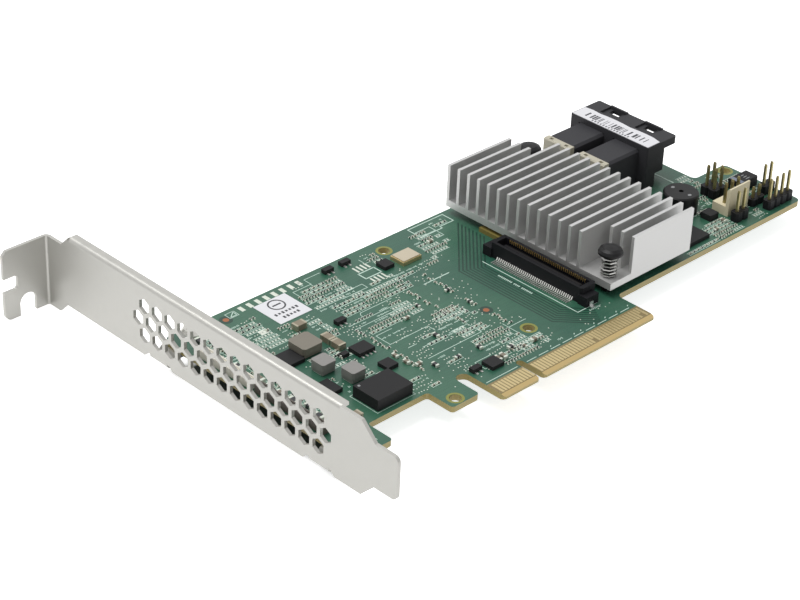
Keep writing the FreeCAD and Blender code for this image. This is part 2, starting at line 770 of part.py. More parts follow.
# Push pins with their springs
capLevel = finLevel + pinRise - pinCapThick
for name, pinX, pinY in (("front", pinFrontX, pinFrontY), ("back", pinBackX, pinBackY)):
    pin = newBody("push_pin_" + name)
    turned = onPlane(pin, "pinTurn" + name, "XZ_Plane", 0.0)
    capR = pinCap * half
    shaftR = pinShaft * half
    barbR = pinBarb * half
    outline(turned, [
        (0.0, bottom - pinTail), (shaftR * 0.6, bottom - pinTail),
        (barbR, bottom - pinTail * 0.35), (shaftR, bottom - pinTail * 0.05),
        (shaftR, capLevel), (capR, capLevel), (capR, capLevel + pinCapThick * 0.3),
        (capR * 0.88, capLevel + pinCapThick * 0.68), (capR * 0.6, capLevel + pinCapThick * 0.93),
        (0.0, capLevel + pinCapThick)])
    turn = pin.newObject("PartDesign::Revolution", "pinBody" + name)
    turn.Profile = turned
    turn.ReferenceAxis = (turned, ["V_Axis"])
    turn.Angle = 360
    place(pin, pinX, pinY, 0.0)
    doc.recompute()
    splitSketch = onPlane(pin, "pinSplit" + name, "XY_Plane", bottom - pinTail)
    rectangle(splitSketch, -pinSlot * half, -pinBarb, pinSlot, pinBarb * 2)
    pocket(pin, splitSketch, pinTail * 0.9, True)
    keep(pin)

    # The coil is drawn as short straight lengths of square wire
    coilR = number(springOuter - springWire) / 2
    lowZ = number(finLevel + springWire * half)
    highZ = number(capLevel - springWire * half)
    steps = 8 * springTurns
    nodes = []
    for k in range(steps + 1):
        angle = 2 * math.pi * k / 8
        share = k / steps
        rise = lowZ + (highZ - lowZ) * (share - 0.11 * math.sin(2 * math.pi * share) / math.pi)
        nodes.append(Vector(coilR * math.cos(angle), coilR * math.sin(angle), rise))
    path = doc.addObject("Part::Polygon", "coilPath" + name)
    path.Nodes = nodes
    section = doc.addObject("Part::RegularPolygon", "coilWire" + name)
    section.Polygon = 4
    section.Circumradius = number(springWire) / 2
    section.setExpression("Circumradius", (springWire * half).text)
    section.Placement = Placement(nodes[0], Rotation(Vector(0, 0, 1), nodes[1] - nodes[0]))
    coil = doc.addObject("Part::Sweep", "pin_spring_" + name)
    coil.Label = "pin_spring_" + name
    coil.Sections = [section]
    coil.Spine = (path, [])
    coil.Solid = True
    coil.Frenet = False
    coil.Transition = "Right corner"
    place(coil, pinX, pinY, 0.0)
    keep(coil)

# Twin cable connector: common shroud, two bodies, two rear organizers
shroudEnd = shroudLeft + shroudLong
slabLevel = shroudTop - shroudSlab
portRear = shroudEnd - portDeep
shroud = newBody("port_shroud")
footSketch = onPlane(shroud, "shroudFoot", "XY_Plane", 0.0)
rectangle(footSketch, shroudLeft, portMid - shroudWide * half, shroudFoot, shroudWide)
pad(shroud, footSketch, slabLevel)
waistSketch = onPlane(shroud, "shroudWaist", "XY_Plane", shroudLift)
rectangle(waistSketch, shroudLeft, portMid - shroudWaist * half, shroudLong - shroudBrow,
          shroudWaist)
pad(shroud, waistSketch, slabLevel - shroudLift)
slabSketch = onPlane(shroud, "shroudSlab", "XY_Plane", slabLevel)
rectangle(slabSketch, shroudLeft, portMid - shroudWide * half, shroudLong, shroudWide)
pad(shroud, slabSketch, shroudSlab)
portMids = (portMid - portPitch * half, portMid + portPitch * half)
mouthSketch = onPlane(shroud, "portMouths", "YZ_Plane", portRear)
rearSketch = onPlane(shroud, "portRears", "YZ_Plane", shroudLeft)
for middle in portMids:
    rectangle(mouthSketch, middle - portWide * half, portFloor, portWide, portTall)
    rectangle(rearSketch, middle - portBodyWide * half, -0.5, portBodyWide, portBodyTall + 0.5)
pocket(shroud, mouthSketch, portDeep, True)
pocket(shroud, rearSketch, portRear - shroudLeft, True)
recessSketch = onPlane(shroud, "latchRecess", "XY_Plane", shroudTop - latchRecess)
windowSketch = onPlane(shroud, "latchWindow", "XY_Plane", portFloor + portTall)
for middle in portMids:
    rectangle(recessSketch, shroudEnd - latchRim - latchRecessLong,
              middle - latchRecessWide * half, latchRecessLong, latchRecessWide)
    rectangle(windowSketch, shroudEnd - latchRim - latchLong, middle - latchWide * half,
              latchLong, latchWide)
pocket(shroud, recessSketch, latchRecess, True)
pocket(shroud, windowSketch, shroudTop - portFloor - portTall, True)
rimSketch = onPlane(shroud, "latchRims", "XY_Plane", shroudTop)
for middle in portMids:
    rectangle(rimSketch, shroudEnd - latchRim, middle - latchRecessWide * half, latchRim,
              latchRecessWide)
pad(shroud, rimSketch, latchRecess * half)
dress(shroud, "Chamfer", "shroudCorners",
      [(shroudEnd, portMid - shroudWide * half, None),
       (shroudEnd, portMid + shroudWide * half, None),
       (shroudLeft, portMid - shroudWide * half, None),
       (shroudLeft, portMid + shroudWide * half, None)], latchRim * half)
keep(shroud)

for name, middle in (("a", portMids[0]), ("b", portMids[1])):
    core = newBody("port_body_" + name)
    coreSketch = onPlane(core, "portBody" + name, "YZ_Plane", portBodyLeft)
    side = portBodyWide * half
    step = portBodyTall * 0.06
    outline(coreSketch, [
        (middle - side, 0.0), (middle + side, 0.0), (middle + side, portBodyTall - step),
        (middle + side - step, portBodyTall), (middle - side + step, portBodyTall),
        (middle - side, portBodyTall - step)])
    pad(core, coreSketch, portRear - portBodyLeft)
    bladeSketch = onPlane(core, "portCore" + name, "YZ_Plane", portRear)
    coreZ = portFloor + (portTall - coreTall) * half
    rectangle(bladeSketch, middle - coreWide * half, coreZ, coreWide, coreTall)
    pad(core, bladeSketch, coreLong)
    gapSketch = onPlane(core, "coreGaps" + name, "YZ_Plane", portRear + coreLong * 0.1)
    for share in (0.28, 0.72):
        rectangle(gapSketch, middle - coreWide * 0.44, coreZ + coreTall * share - coreSlot * half,
                  coreWide * 0.88, coreSlot)
    pocket(core, gapSketch, coreLong, True)
    keep(core)

    tidy = newBody("port_organizer_" + name)
    tidySketch = onPlane(tidy, "organizer" + name, "YZ_Plane", portBodyLeft - organizerLong)
    rectangle(tidySketch, middle - side, 0.0, portBodyWide, portBodyTall)
    pad(tidy, tidySketch, organizerLong)
    dress(tidy, "Chamfer", "organizerEdge" + name,
          [(portBodyLeft - organizerLong, middle, portBodyTall)], organizerLong * 0.15)
    topHoles = onPlane(tidy, "organizerTop" + name, "XY_Plane", portBodyTall)
    rearHoles = onPlane(tidy, "organizerRear" + name, "YZ_Plane", portBodyLeft - organizerLong)
    for spread in (-half, half):
        spot = middle + organizerSpread * spread
        rectangle(topHoles, portBodyLeft - organizerLong * 0.72, spot - organizerHole * half,
                  organizerLong * 0.44, organizerHole)
        rectangle(rearHoles, spot - organizerHole * 0.8, portBodyTall * 0.56, organizerHole * 1.6,
                  portBodyTall * 0.2)
    pocket(tidy, topHoles, organizerLong * half)
    pocket(tidy, rearHoles, organizerLong * 0.4, True)
    keep(tidy)

# Solder tails of the twin connector, seen below the board
tails = []
for p, middle in enumerate(portMids):
    for line in range(2):
        for k in range(tailCount):
            tails.append(block(
                "tail%d_%d_%d" % (p, line, k),
                portBodyLeft + 2.2 + 3.1 * line, middle + tailPitch * (k - (tailCount - 1) / 2) - 0.15,
                bottom - 0.5, 0.3, 0.3, 0.5))
keep(together("port_tails", tails))

# Board to board connector with its long slot
stack = newBody("stack_housing")
stackSketch = onPlane(stack, "stackBody", "XY_Plane", 0.0)
rectangle(stackSketch, stackLeft, stackLow, stackWide, stackLong)
pad(stack, stackSketch, stackTall)
dress(stack, "Chamfer", "stackEnds",
      [(stackLeft, stackLow, None), (stackLeft, stackLow + stackLong, None),
       (stackLeft + stackWide, stackLow, None)], stackWall * 0.4)
earSketch = onPlane(stack, "stackEars", "XY_Plane", 0.0)
rectangle(earSketch, stackLeft - 0.4, stackLow - stackEar, stackWide * 0.84, stackEar + 0.8)
rectangle(earSketch, stackLeft - 0.4, stackLow + stackLong - 0.8, stackWide * 0.84, stackEar + 0.8)
pad(stack, earSketch, stackEarTall)
slotSketch = onPlane(stack, "stackSlot", "XY_Plane", stackTall)
rectangle(slotSketch, stackLeft + (stackWide - stackSlot) * half, stackLow + stackWall, stackSlot,
          stackLong - stackWall * 2)
pocket(stack, slotSketch, stackSlotDeep)
tongueSketch = onPlane(stack, "stackBlade", "XY_Plane", stackTall - stackSlotDeep)
rectangle(tongueSketch, stackLeft + (stackWide - stackBlade) * half, stackLow + stackWall * 2,
          stackBlade, stackLong - stackWall * 4)
pad(stack, tongueSketch, stackSlotDeep * 0.7)
keep(stack)

stackLeads = []
leadFirst = stackLow + stackLong * half - stackPitch * (stackCount - 1) * half - stackLead * half
for side in ("left", "right"):
    lead = newBody("stackLeads" + side)
    leadSketch = onPlane(lead, "leadShape" + side, "XZ_Plane", -(leadFirst + stackLead))
    if side == "left":
        root, sense, reach = stackLeft, -1, stackLeadLong
    else:
        root, sense, reach = stackLeft + stackWide, 1, stackLeadLong * 0.6
    outline(leadSketch, [
        (root, 0.0), (root + reach * sense, 0.0), (root + reach * sense, stackLeadThick),
        (root + stackLeadThick * 2 * sense, stackLeadThick), (root, stackLeadRise)])
    oneLead = pad(lead, leadSketch, stackLead)
    pattern = row(lead, oneLead, leadSketch, "N_Axis", stackPitch, stackCount)
    pattern.Reversed = True
    stackLeads.append(lead)
keep(together("stack_leads", stackLeads))


def housing(label, firstX, firstY, across, along, tall):
    """A header moulding: one chamfered square for each post, side by side."""
    body = newBody(label)
    r = headerPitch * half
    c = headerChamfer
    for j in range(along):
        middle = firstY + headerPitch * j
        shape = onPlane(body, "%sShape%d" % (label, j), "XY_Plane", 0.0)
        outline(shape, [
            (firstX - r + c, middle - r), (firstX + r - c, middle - r),
            (firstX + r, middle - r + c), (firstX + r, middle + r - c),
            (firstX + r - c, middle + r), (firstX - r + c, middle + r),
            (firstX - r, middle + r - c), (firstX - r, middle - r + c)])
        one = pad(body, shape, tall)
        if across > 1:
            row(body, one, shape, "H_Axis", headerPitch, across)
    holes = onPlane(body, label + "Holes", "XY_Plane", 0.0)
    for i in range(across):
        for j in range(along):
            rectangle(holes, firstX + headerPitch * i - postWide * half,
                      firstY + headerPitch * j - postWide * half, postWide, postWide)
    pocket(body, holes, tall, True)
    return keep(body)


def posts(label, firstX, firstY, across, along, top, level=None):
    """Square posts with tapered ends, each one a solid, down through the board."""
    made = []
    w = postWide * half
    n = postWide * 0.22
    foot = bottom - postTail + 1.2
    for j in range(along):
        spotY = firstY + headerPitch * j
        body = newBody("%sLine%d" % (label, j))
        shape = onPlane(body, "%sShape%d" % (label, j), "XZ_Plane", -(spotY + w))
        outline(shape, [
            (firstX - w, foot + postTaper), (firstX - n, foot), (firstX + n, foot),
            (firstX + w, foot + postTaper), (firstX + w, top - postTaper), (firstX + n, top),
            (firstX - n, top), (firstX - w, top - postTaper)])
        one = pad(body, shape, postWide)
        if across > 1:
            row(body, one, shape, "H_Axis", headerPitch, across)
        made.append(body)
    return keep(together(label, made))


def holesFor(firstX, firstY, across, along):
    for i in range(across):
        for j in range(along):
            postHoles.append((firstX + headerPitch * i, firstY + headerPitch * j))


postHoles = []
headers = (
    ("square_header", squareX, squareY, 2, 2, postTop, headerTall),
    ("edge_header", edgeX, edgeY, 4, 1, postTop, headerTall),
    ("small_header", smallX, smallY, 2, 1, postTop, headerTall),
    ("low_header", lowX, lowY, 2, 1, lowTop, lowTall),
    ("rear_header", rearX, rearY, 2, 1, postTop, headerTall),
)
for label, firstX, firstY, across, along, top, tall in headers:
    housing(label + "_housing", firstX, firstY, across, along, tall)
    posts(label + "_posts", firstX, firstY, across, along, top)
    holesFor(firstX, firstY, across, along)

# Friction lock header: low base, tall slotted wall along the finger side
lockCount = 3
lock = newBody("lock_header_housing")
lockLeft = lockX - headerPitch * 0.6
lockLong = headerPitch * (lockCount - 1) + headerPitch * 1.2
lockLow = lockY - lockDeep * half
lockSketch = onPlane(lock, "lockBase", "XY_Plane", 0.0)
rectangle(lockSketch, lockLeft, lockLow, lockLong, lockDeep)
pad(lock, lockSketch, lockTall)
wallSketch = onPlane(lock, "lockWall", "XY_Plane", lockTall)
rectangle(wallSketch, lockLeft, lockLow, lockLong, lockWall)
pad(lock, wallSketch, lockWallTop - lockTall)
dress(lock, "Chamfer", "lockRamp",
      [(lockLeft + lockLong * half, lockLow + lockWall, lockWallTop)], lockWall * 0.5)
wallSlots = onPlane(lock, "lockSlots", "XZ_Plane", -(lockLow + lockWall))
for share in (0.34, 0.66):
    rectangle(wallSlots, lockLeft + lockLong * share - lockSlot * half, lockTall + 0.3, lockSlot,
              (lockWallTop - lockTall) * 0.8)
pocket(lock, wallSlots, lockWall * 0.45, True)
lockHoles = onPlane(lock, "lockHoles", "XY_Plane", 0.0)
for i in range(lockCount):
    rectangle(lockHoles, lockX + headerPitch * i - postWide * half, lockY - postWide * half,
              postWide, postWide)
pocket(lock, lockHoles, lockTall, True)
keep(lock)
posts("lock_header_posts", lockX, lockY, lockCount, 1, postTop)
holesFor(lockX, lockY, lockCount, 1)

# Clearance holes in the board for every post
postSketch = onPlane(board, "postHoles", "XY_Plane", bottom)
for spotX, spotY in postHoles:
    rectangle(postSketch, spotX - postWide * 0.5, spotY - postWide * 0.5, postWide, postWide)
pocket(board, postSketch, boardThick, True)

# The sounder: a drum with a sound hole in its lid
buzzer = newBody("buzzer")
drumSketch = onPlane(buzzer, "drum", "XY_Plane", 0.0)
circle(drumSketch, buzzerX, buzzerY, buzzerWide)
pad(buzzer, drumSketch, buzzerTall)
dress(buzzer, "Chamfer", "drumEdge",
      [(buzzerX - buzzerWide * half, buzzerY, buzzerTall)], buzzerTall * 0.06)
soundSketch = onPlane(buzzer, "soundHole", "XY_Plane", buzzerTall)
circle(soundSketch, buzzerX, buzzerY, buzzerHole)
pocket(buzzer, soundSketch, buzzerTall * 0.4)
keep(buzzer)


def coilPart(label, middleX, middleY, long, wide, tall):
    """A moulded power inductor with cut corners and stepped-in lower sides."""
    body = newBody(label)
    foot = onPlane(body, label + "Foot", "XY_Plane", terminalThick)
    inset = long * 0.06
    rectangle(foot, middleX - long * half + inset, middleY - wide * half + inset,
              long - inset * 2, wide - inset * 2)
    pad(body, foot, tall * 0.35)
    crown = onPlane(body, label + "Crown", "XY_Plane", terminalThick + tall * 0.35)
    a = long * half
    b = wide * half
    c = long * 0.1
    outline(crown, [
        (middleX - a + c, middleY - b), (middleX + a - c, middleY - b), (middleX + a, middleY - b + c),
        (middleX + a, middleY + b - c), (middleX + a - c, middleY + b),
        (middleX - a + c, middleY + b), (middleX - a, middleY + b - c), (middleX - a, middleY - b + c)])
    pad(body, crown, tall * 0.65 - terminalThick)
    terminals.append(block(label + "EndA", middleX - long * 0.44, middleY - wide * 0.32, 0.0,
                           long * 0.2, wide * 0.64, terminalThick))
    terminals.append(block(label + "EndB", middleX + long * 0.24, middleY - wide * 0.32, 0.0,
                           long * 0.2, wide * 0.64, terminalThick))
    return keep(body)


terminals = []
coilPart("inductor_large", coilLargeX, coilLargeY, coilLarge,
         coilLarge, coilLargeTall)
coilPart("inductor_small_a", coilAX, coilAY, coilSmall, coilSmall,
         coilSmallTall)
coilPart("inductor_small_b", coilBX, coilBY, coilSmall, coilSmall,
         coilSmallTall)
keep(together("inductor_terminals", terminals))

# Tantalum capacitor with folded end tabs
tant = newBody("tantalum_capacitor")
tantSketch = onPlane(tant, "tantBody", "YZ_Plane", tantX - tantLong * half)
tw = tantWide * half
outline(tantSketch, [
    (tantY - tw, terminalThick), (tantY + tw, terminalThick), (tantY + tw, tantTall * 0.55),
    (tantY + tw - 0.15, tantTall), (tantY - tw + 0.15, tantTall), (tantY - tw, tantTall * 0.55)])
pad(tant, tantSketch, tantLong)
keep(tant)
keep(together("tantalum_terminals", [
    block("tantEndA", tantX - tantLong * half - terminalThick, tantY - tantWide * 0.27,
          0.0, terminalThick, tantWide * 0.54, tantTall * 0.5),
    block("tantEndB", tantX + tantLong * half, tantY - tantWide * 0.27, 0.0, terminalThick,
          tantWide * 0.54, tantTall * 0.5)]))

# Flat packages that sit on the board by themselves
keep(block("memory_block", flashX, flashY, 0.0,
           flashLong, flashWide, flashTall))
keep(block("memory_chip_front", memoryX, memoryY, 0.0,
           memoryLong, memoryWide, memoryTall))
oscY = boardHeight - oscDrop
keep(block("oscillator_base", oscX, oscY, 0.0, oscLong, oscWide, oscTall))
keep(block("oscillator_lid", oscX + oscLong * 0.05, oscY + oscWide * 0.05, oscTall,
           oscLong * 0.9, oscWide * 0.9, oscLidTall))

# Plain packages with no visible leads: corner, length, width and height
plainChips = []
for k, (x, y, long, wide, tall) in enumerate((
        (-41.9, 40.0, 5.0, 5.4, plainTall), (-43.4, 25.4, 4.6, 5.2, plainTall),
        (85.3, 20.2, 3.3, 3.2, plainTall * 1.7), (-25.6, 24.5, 3.4, 3.4, plainTall),
        (-7.3, 8.9, 3.9, 3.6, plainTall), (5.2, 57.2, 3.2, 3.2, plainTall),
        (-29.5, 35.1, 1.9, 1.4, plainTall))):
    plainChips.append(block("plainChip%d" % k, x, y, 0.0, long, wide, tall))
keep(together("plain_chips", plainChips))

# Gull wing packages: bodies in one node, their leads in another
chipBodies = []
chipLeads = []


def leaded(name, x, y, long, wide, tall, count, onFar):
    """Leads leave the two sides that face +Y and -Y."""
    chipBodies.append(block(name, x, y, chipGap, long, wide, tall))
    pitch = long / count
    for k in range(count):
        middle = x + pitch * k + pitch * 0.5
        chipLeads.append(block("%sNear%d" % (name, k), middle - pitch * 0.18, y - leadReach,
                               0.0, pitch * 0.36, leadReach, leadThick))
    for k in range(onFar):
        middle = x + long * (k + 0.5) / onFar
        chipLeads.append(block("%sFar%d" % (name, k), middle - pitch * 0.18, y + wide, 0.0,
                               pitch * 0.36, leadReach, leadThick))


leaded("soicA", -26.4, 32.9, soicLong, soicWide, smallTall, 4, 4)
for k, (x, y) in enumerate(((-20.9, 46.2), (-7.2, boardHeight - 3.6), (-1.6, boardHeight - 3.6),
                        (-11.6, 10.9))):
    leaded("sot%d" % k, x, y, sotLong, sotWide, smallTall, 2, 1)
keep(together("leaded_chips", chipBodies))
keep(together("chip_leads", chipLeads))

# Ceramic capacitors: brown bodies in one node, plated ends in another
capBodies = []
capEnds = []


def ceramic(x, y, long, wide, tall, alongX):
    number_ = len(capBodies)
    body = long - terminalLong * 2
    if alongX:
        capBodies.append(block("cap%d" % number_, x - body * half, y - wide * half, 0.0, body,
                               wide, tall))
        for tag, start in (("A", x - long * half), ("B", x + body * half)):
            capEnds.append(block("capEnd%d%s" % (number_, tag), start, y - wide * half, 0.0,
                                 terminalLong, wide, tall))
    else:
        capBodies.append(block("cap%d" % number_, x - wide * half, y - body * half, 0.0, wide,
                               body, tall))
        for tag, start in (("A", y - long * half), ("B", y + body * half)):
            capEnds.append(block("capEnd%d%s" % (number_, tag), x - wide * half, start, 0.0,
                                 wide, terminalLong, tall))


for x, y, alongX in ((-28.2, 51.6, True), (-27.0, 43.0, False), (-27.0, 39.6, False),
                     (-44.3, 15.6, True)):
    ceramic(Size(x, repr(x)), Size(y, repr(y)), capLong, capWide, capTall, alongX)
keep(together("ceramic_capacitors", capBodies))
keep(together("capacitor_terminals", capEnds))

# Paper labels
keep(block("board_label", labelX, boardHeight - labelDrop, 0.0,
           labelLong, labelWide, labelThick))
portLabel = newBody("port_label")
labelSketch = onPlane(portLabel, "portLabel", "XY_Plane", shroudTop)
labelFoot = portMid - shroudWide * half + portLabelInset
labelRun = shroudWide - portLabelInset * 2
labelEdge = shroudLeft + portLabelInset
waves = 10
corners = [(labelEdge, labelFoot + labelRun), (labelEdge, labelFoot)]
for k in range(waves + 1):
    bulge = abs(math.sin(math.pi * 2.5 * k / waves)) - (1.2 if k in (0, waves) else 0)
    corners.append((labelEdge + portLabelLong + portLabelWave * bulge,
                    labelFoot + labelRun * k / waves))
outline(labelSketch, corners)
pad(portLabel, labelSketch, labelThick)
keep(portLabel)

# Memory and decoupling on the solder side
backChips = []
for k in range(4):
    backChips.append(block("backChip%d" % k, backFirst + backStep * (k % 2) + backGap * (k // 2),
                           backRow, bottom - memoryTall, backLong, backWide, memoryTall))
keep(together("memory_chips_back", backChips))

doc.recompute()
problems = []
for thing in doc.Objects:
    if "Invalid" in thing.State or "Error" in thing.State:
        problems.append("%s %s" % (thing.Name, thing.State))
for thing in subParts:
    if thing.Shape.isNull() or not thing.Shape.isValid() or not thing.Shape.Solids:
        problems.append("bad shape in " + thing.Label)
if problems:
    raise SystemExit("\n".join(problems))
for thing in subParts:
    thing.Shape.exportStep("parts/%s.step" % thing.Label)
print(len(subParts), "pieces written")
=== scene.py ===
import bpy
import math
import random
from mathutils import Matrix, Vector


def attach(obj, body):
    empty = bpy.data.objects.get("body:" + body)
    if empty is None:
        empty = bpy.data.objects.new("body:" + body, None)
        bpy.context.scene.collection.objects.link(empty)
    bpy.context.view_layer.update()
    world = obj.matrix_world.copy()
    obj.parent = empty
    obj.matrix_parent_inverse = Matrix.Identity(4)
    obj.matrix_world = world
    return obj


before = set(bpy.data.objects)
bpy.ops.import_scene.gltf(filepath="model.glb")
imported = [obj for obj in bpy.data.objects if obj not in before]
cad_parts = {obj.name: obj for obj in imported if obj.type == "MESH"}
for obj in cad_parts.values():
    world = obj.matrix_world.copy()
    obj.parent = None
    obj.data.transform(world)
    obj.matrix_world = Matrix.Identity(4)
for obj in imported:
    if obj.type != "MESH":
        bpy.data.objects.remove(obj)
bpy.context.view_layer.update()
mm = 0.001
print("frame loaded,", len(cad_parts), "nodes")


def linearColour(hexText):
    channels = [int(hexText[i:i + 2], 16) / 255 for i in (0, 2, 4)]
    return tuple(c / 12.92 if c <= 0.04045 else ((c + 0.055) / 1.055) ** 2.4
                 for c in channels) + (1.0,)


def addNode(tree, kind, settings=None, inputs=None):
    # an input is another node's socket or a constant
    node = tree.nodes.new(kind)
    for key, value in (settings or {}).items():
        setattr(node, key, value)
    for key, value in (inputs or {}).items():
        if isinstance(value, bpy.types.NodeSocket):
            tree.links.new(value, node.inputs[key])
        else:
            node.inputs[key].default_value = value
    return node


def addMath(tree, operation, *terms):
    return addNode(tree, "ShaderNodeMath", {"operation": operation},
                   dict(enumerate(terms))).outputs[0]


def mixColours(tree, share, first, second, blend="MIX"):
    return addNode(tree, "ShaderNodeMix", {"data_type": "RGBA", "blend_type": blend},
                   {0: share, 6: first, 7: second}).outputs[2]


def remap(tree, value, low, high, toLow=0.0, toHigh=1.0):
    return addNode(tree, "ShaderNodeMapRange",
                   inputs={"Value": value, "From Min": low, "From Max": high,
                           "To Min": toLow, "To Max": toHigh}).outputs["Result"]


def inMillimetres(tree, place):
    return addNode(tree, "ShaderNodeMapping",
                   inputs={"Vector": place, "Scale": (1000, 1000, 1000)}).outputs["Vector"]


def addBump(tree, shader, height, depthMm, strength):
    bump = addNode(tree, "ShaderNodeBump", inputs={"Height": height, "Distance": depthMm * mm,
                                                   "Strength": strength})
    tree.links.new(bump.outputs["Normal"], shader.inputs["Normal"])


def startMaterial(name, colour, metallic, roughness):
    material = bpy.data.materials.new(name)
    material.use_nodes = True
    tree = material.node_tree
    shader = tree.nodes["Principled BSDF"]
    shader.inputs["Base Color"].default_value = linearColour(colour)
    shader.inputs["Metallic"].default_value = metallic
    shader.inputs["Roughness"].default_value = roughness
    place = addNode(tree, "ShaderNodeTexCoord").outputs["Object"]
    return material, tree, shader, place


surfaceSetup = {
    "detail": 4.0, "noiseLow": 0.3, "noiseHigh": 0.7, "roughSpread": 0.06, "leastRough": 0.02,
    "bumpStrength": 0.6}


def finishSurface(name, colour, metallic, roughness, grainMm, depthMm, vary, stretch=(1, 1, 1),
                  sheen=0.5):
    # colour and roughness wander over grainMm, with a bump depthMm deep
    material, tree, shader, place = startMaterial(name, colour, metallic, roughness)
    shader.inputs["Specular IOR Level"].default_value = sheen
    scaled = addNode(tree, "ShaderNodeMapping",
                     inputs={"Vector": place,
                             "Scale": [s / (grainMm * mm) for s in stretch]})
    noise = addNode(tree, "ShaderNodeTexNoise",
                    inputs={"Vector": scaled.outputs["Vector"], "Scale": 1.0,
                            "Detail": surfaceSetup["detail"]}).outputs["Fac"]
    base = linearColour(colour)
    dark = tuple(c * (1 - vary) for c in base[:3]) + (1.0,)
    light = tuple(min(1.0, c * (1 + vary)) for c in base[:3]) + (1.0,)
    tree.links.new(mixColours(tree, noise, dark, light), shader.inputs["Base Color"])
    spread = surfaceSetup["roughSpread"]
    rough = remap(tree, noise, surfaceSetup["noiseLow"], surfaceSetup["noiseHigh"],
                  max(surfaceSetup["leastRough"], roughness - spread), roughness + spread)
    tree.links.new(rough, shader.inputs["Roughness"])
    addBump(tree, shader, noise, depthMm, surfaceSetup["bumpStrength"])
    return material


def deselectAll():
    if bpy.context.mode != "OBJECT":
        bpy.ops.object.mode_set(mode="OBJECT")
    bpy.ops.object.select_all(action="DESELECT")


def nameActive(name):
    piece = bpy.context.view_layer.objects.active
    piece.name = name
    piece.data.name = name
    return piece


def settle(piece):
    # place, turn and size go into the mesh
    deselectAll()
    piece.select_set(True)
    bpy.context.view_layer.objects.active = piece
    bpy.ops.object.transform_apply(location=True, rotation=True, scale=True)
    return piece


def joinAll(name, pieces):
    deselectAll()
    for piece in pieces:
        piece.select_set(True)
    bpy.context.view_layer.objects.active = pieces[0]
    bpy.ops.object.join()
    return nameActive(name)


def stamp(name, model, spots):
    # spots hold (x, y, z, sizeX, sizeY, sizeZ, turn in degrees), in mm
    copies = []
    for x, y, z, sizeX, sizeY, sizeZ, turn in spots:
        copy = model.copy()
        copy.data = model.data.copy()
        copy.data.transform(Matrix.Translation((x * mm, y * mm, z * mm))
                            @ Matrix.Rotation(math.radians(turn), 4, "Z")
                            @ Matrix.Diagonal((sizeX, sizeY, sizeZ, 1)))
        bpy.context.scene.collection.objects.link(copy)
        copies.append(copy)
    return joinAll(name, copies)


def finishPiece(piece, slot, *materials):
    if materials:
        piece.data.materials.clear()
        for material in materials:
            piece.data.materials.append(material)
    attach(piece, "root")


# Camera, set from the fit to the photograph
cameraSetup = {
    "spot": (-0.335424, -0.281197, 0.285223),
    "right": (0.7138, -0.6994, 0.0365),
    "forward": (0.6106, 0.5960, -0.5214),
    "sensor": 36, "lens": 102.80, "shiftX": -0.0014, "shiftY": 0.0002, "near": 0.01,
    "far": 20}

cameraData = bpy.data.cameras.new("camera")
cameraData.sensor_width = cameraSetup["sensor"]
cameraData.lens = cameraSetup["lens"]
cameraData.shift_x = cameraSetup["shiftX"]
cameraData.shift_y = cameraSetup["shiftY"]
cameraData.clip_start = cameraSetup["near"]
cameraData.clip_end = cameraSetup["far"]
camera = bpy.data.objects.new("camera", cameraData)
bpy.context.scene.collection.objects.link(camera)
right = Vector(cameraSetup["right"]).normalized()
forward = Vector(cameraSetup["forward"]).normalized()
up = right.cross(forward).normalized()
right = forward.cross(up).normalized()
camera.matrix_world = Matrix((
    (right.x, up.x, -forward.x, cameraSetup["spot"][0]),
    (right.y, up.y, -forward.y, cameraSetup["spot"][1]),
    (right.z, up.z, -forward.z, cameraSetup["spot"][2]),
    (0, 0, 0, 1)))
bpy.context.scene.camera = camera

# Light and backdrop: mostly from above, and a white surround that only camera and gloss
# see. The floor is matte paper: no shine, and nearly as bright as the surround.
# The shade, in mm, is the part of the floor under the board that the lowest vents of the
# bracket look at: it doesn't glow, and its colour is painted darker there as a shadow, as in the
# photograph.
studio = {
    "worldLight": 0.4, "keyPower": 5.6, "fillPower": 0.3, "lampSize": 0.6,
    "keySpot": (-0.12, 0.28, 0.8), "fillSpot": (-0.6, -0.45, 0.35), "aim": (0.02, 0.04, 0.0),
    "floorSize": 6, "floorLevel": -6.85, "floorRough": 0.9, "floorGlow": 0.75,
    "floorColour": "f4f4f4", "floorShadowPaint": "5a5e5a", "shade": ((-56.5, -42.0), (9.0, 66.0)),
    "shadeSoft": 3.0, "shadowPaintFrom": 1.4}

world = bpy.data.worlds.new("studioWorld")
bpy.context.scene.world = world
world.use_nodes = True
worldTree = world.node_tree
worldTree.nodes.clear()
rays = addNode(worldTree, "ShaderNodeLightPath").outputs
seen = addMath(worldTree, "MAXIMUM", rays["Is Camera Ray"], rays["Is Transmission Ray"])
seen = addMath(worldTree, "MAXIMUM", seen, rays["Is Glossy Ray"])
skyLevel = remap(worldTree, seen, 0.0, 1.0, studio["worldLight"], 1.0)
sky = addNode(worldTree, "ShaderNodeBackground",
              inputs={"Color": (1, 1, 1, 1), "Strength": skyLevel})
addNode(worldTree, "ShaderNodeOutputWorld", inputs={"Surface": sky.outputs[0]})


def softLamp(name, spot, power):
    data = bpy.data.lights.new(name, "AREA")
    data.energy = power
    data.size = studio["lampSize"]
    lamp = bpy.data.objects.new(name, data)
    bpy.context.scene.collection.objects.link(lamp)
    lamp.location = spot
    way = Vector(studio["aim"]) - Vector(spot)
    lamp.rotation_euler = way.to_track_quat("-Z", "Y").to_euler()


softLamp("keyLamp", studio["keySpot"], studio["keyPower"])
softLamp("fillLamp", studio["fillSpot"], studio["fillPower"])

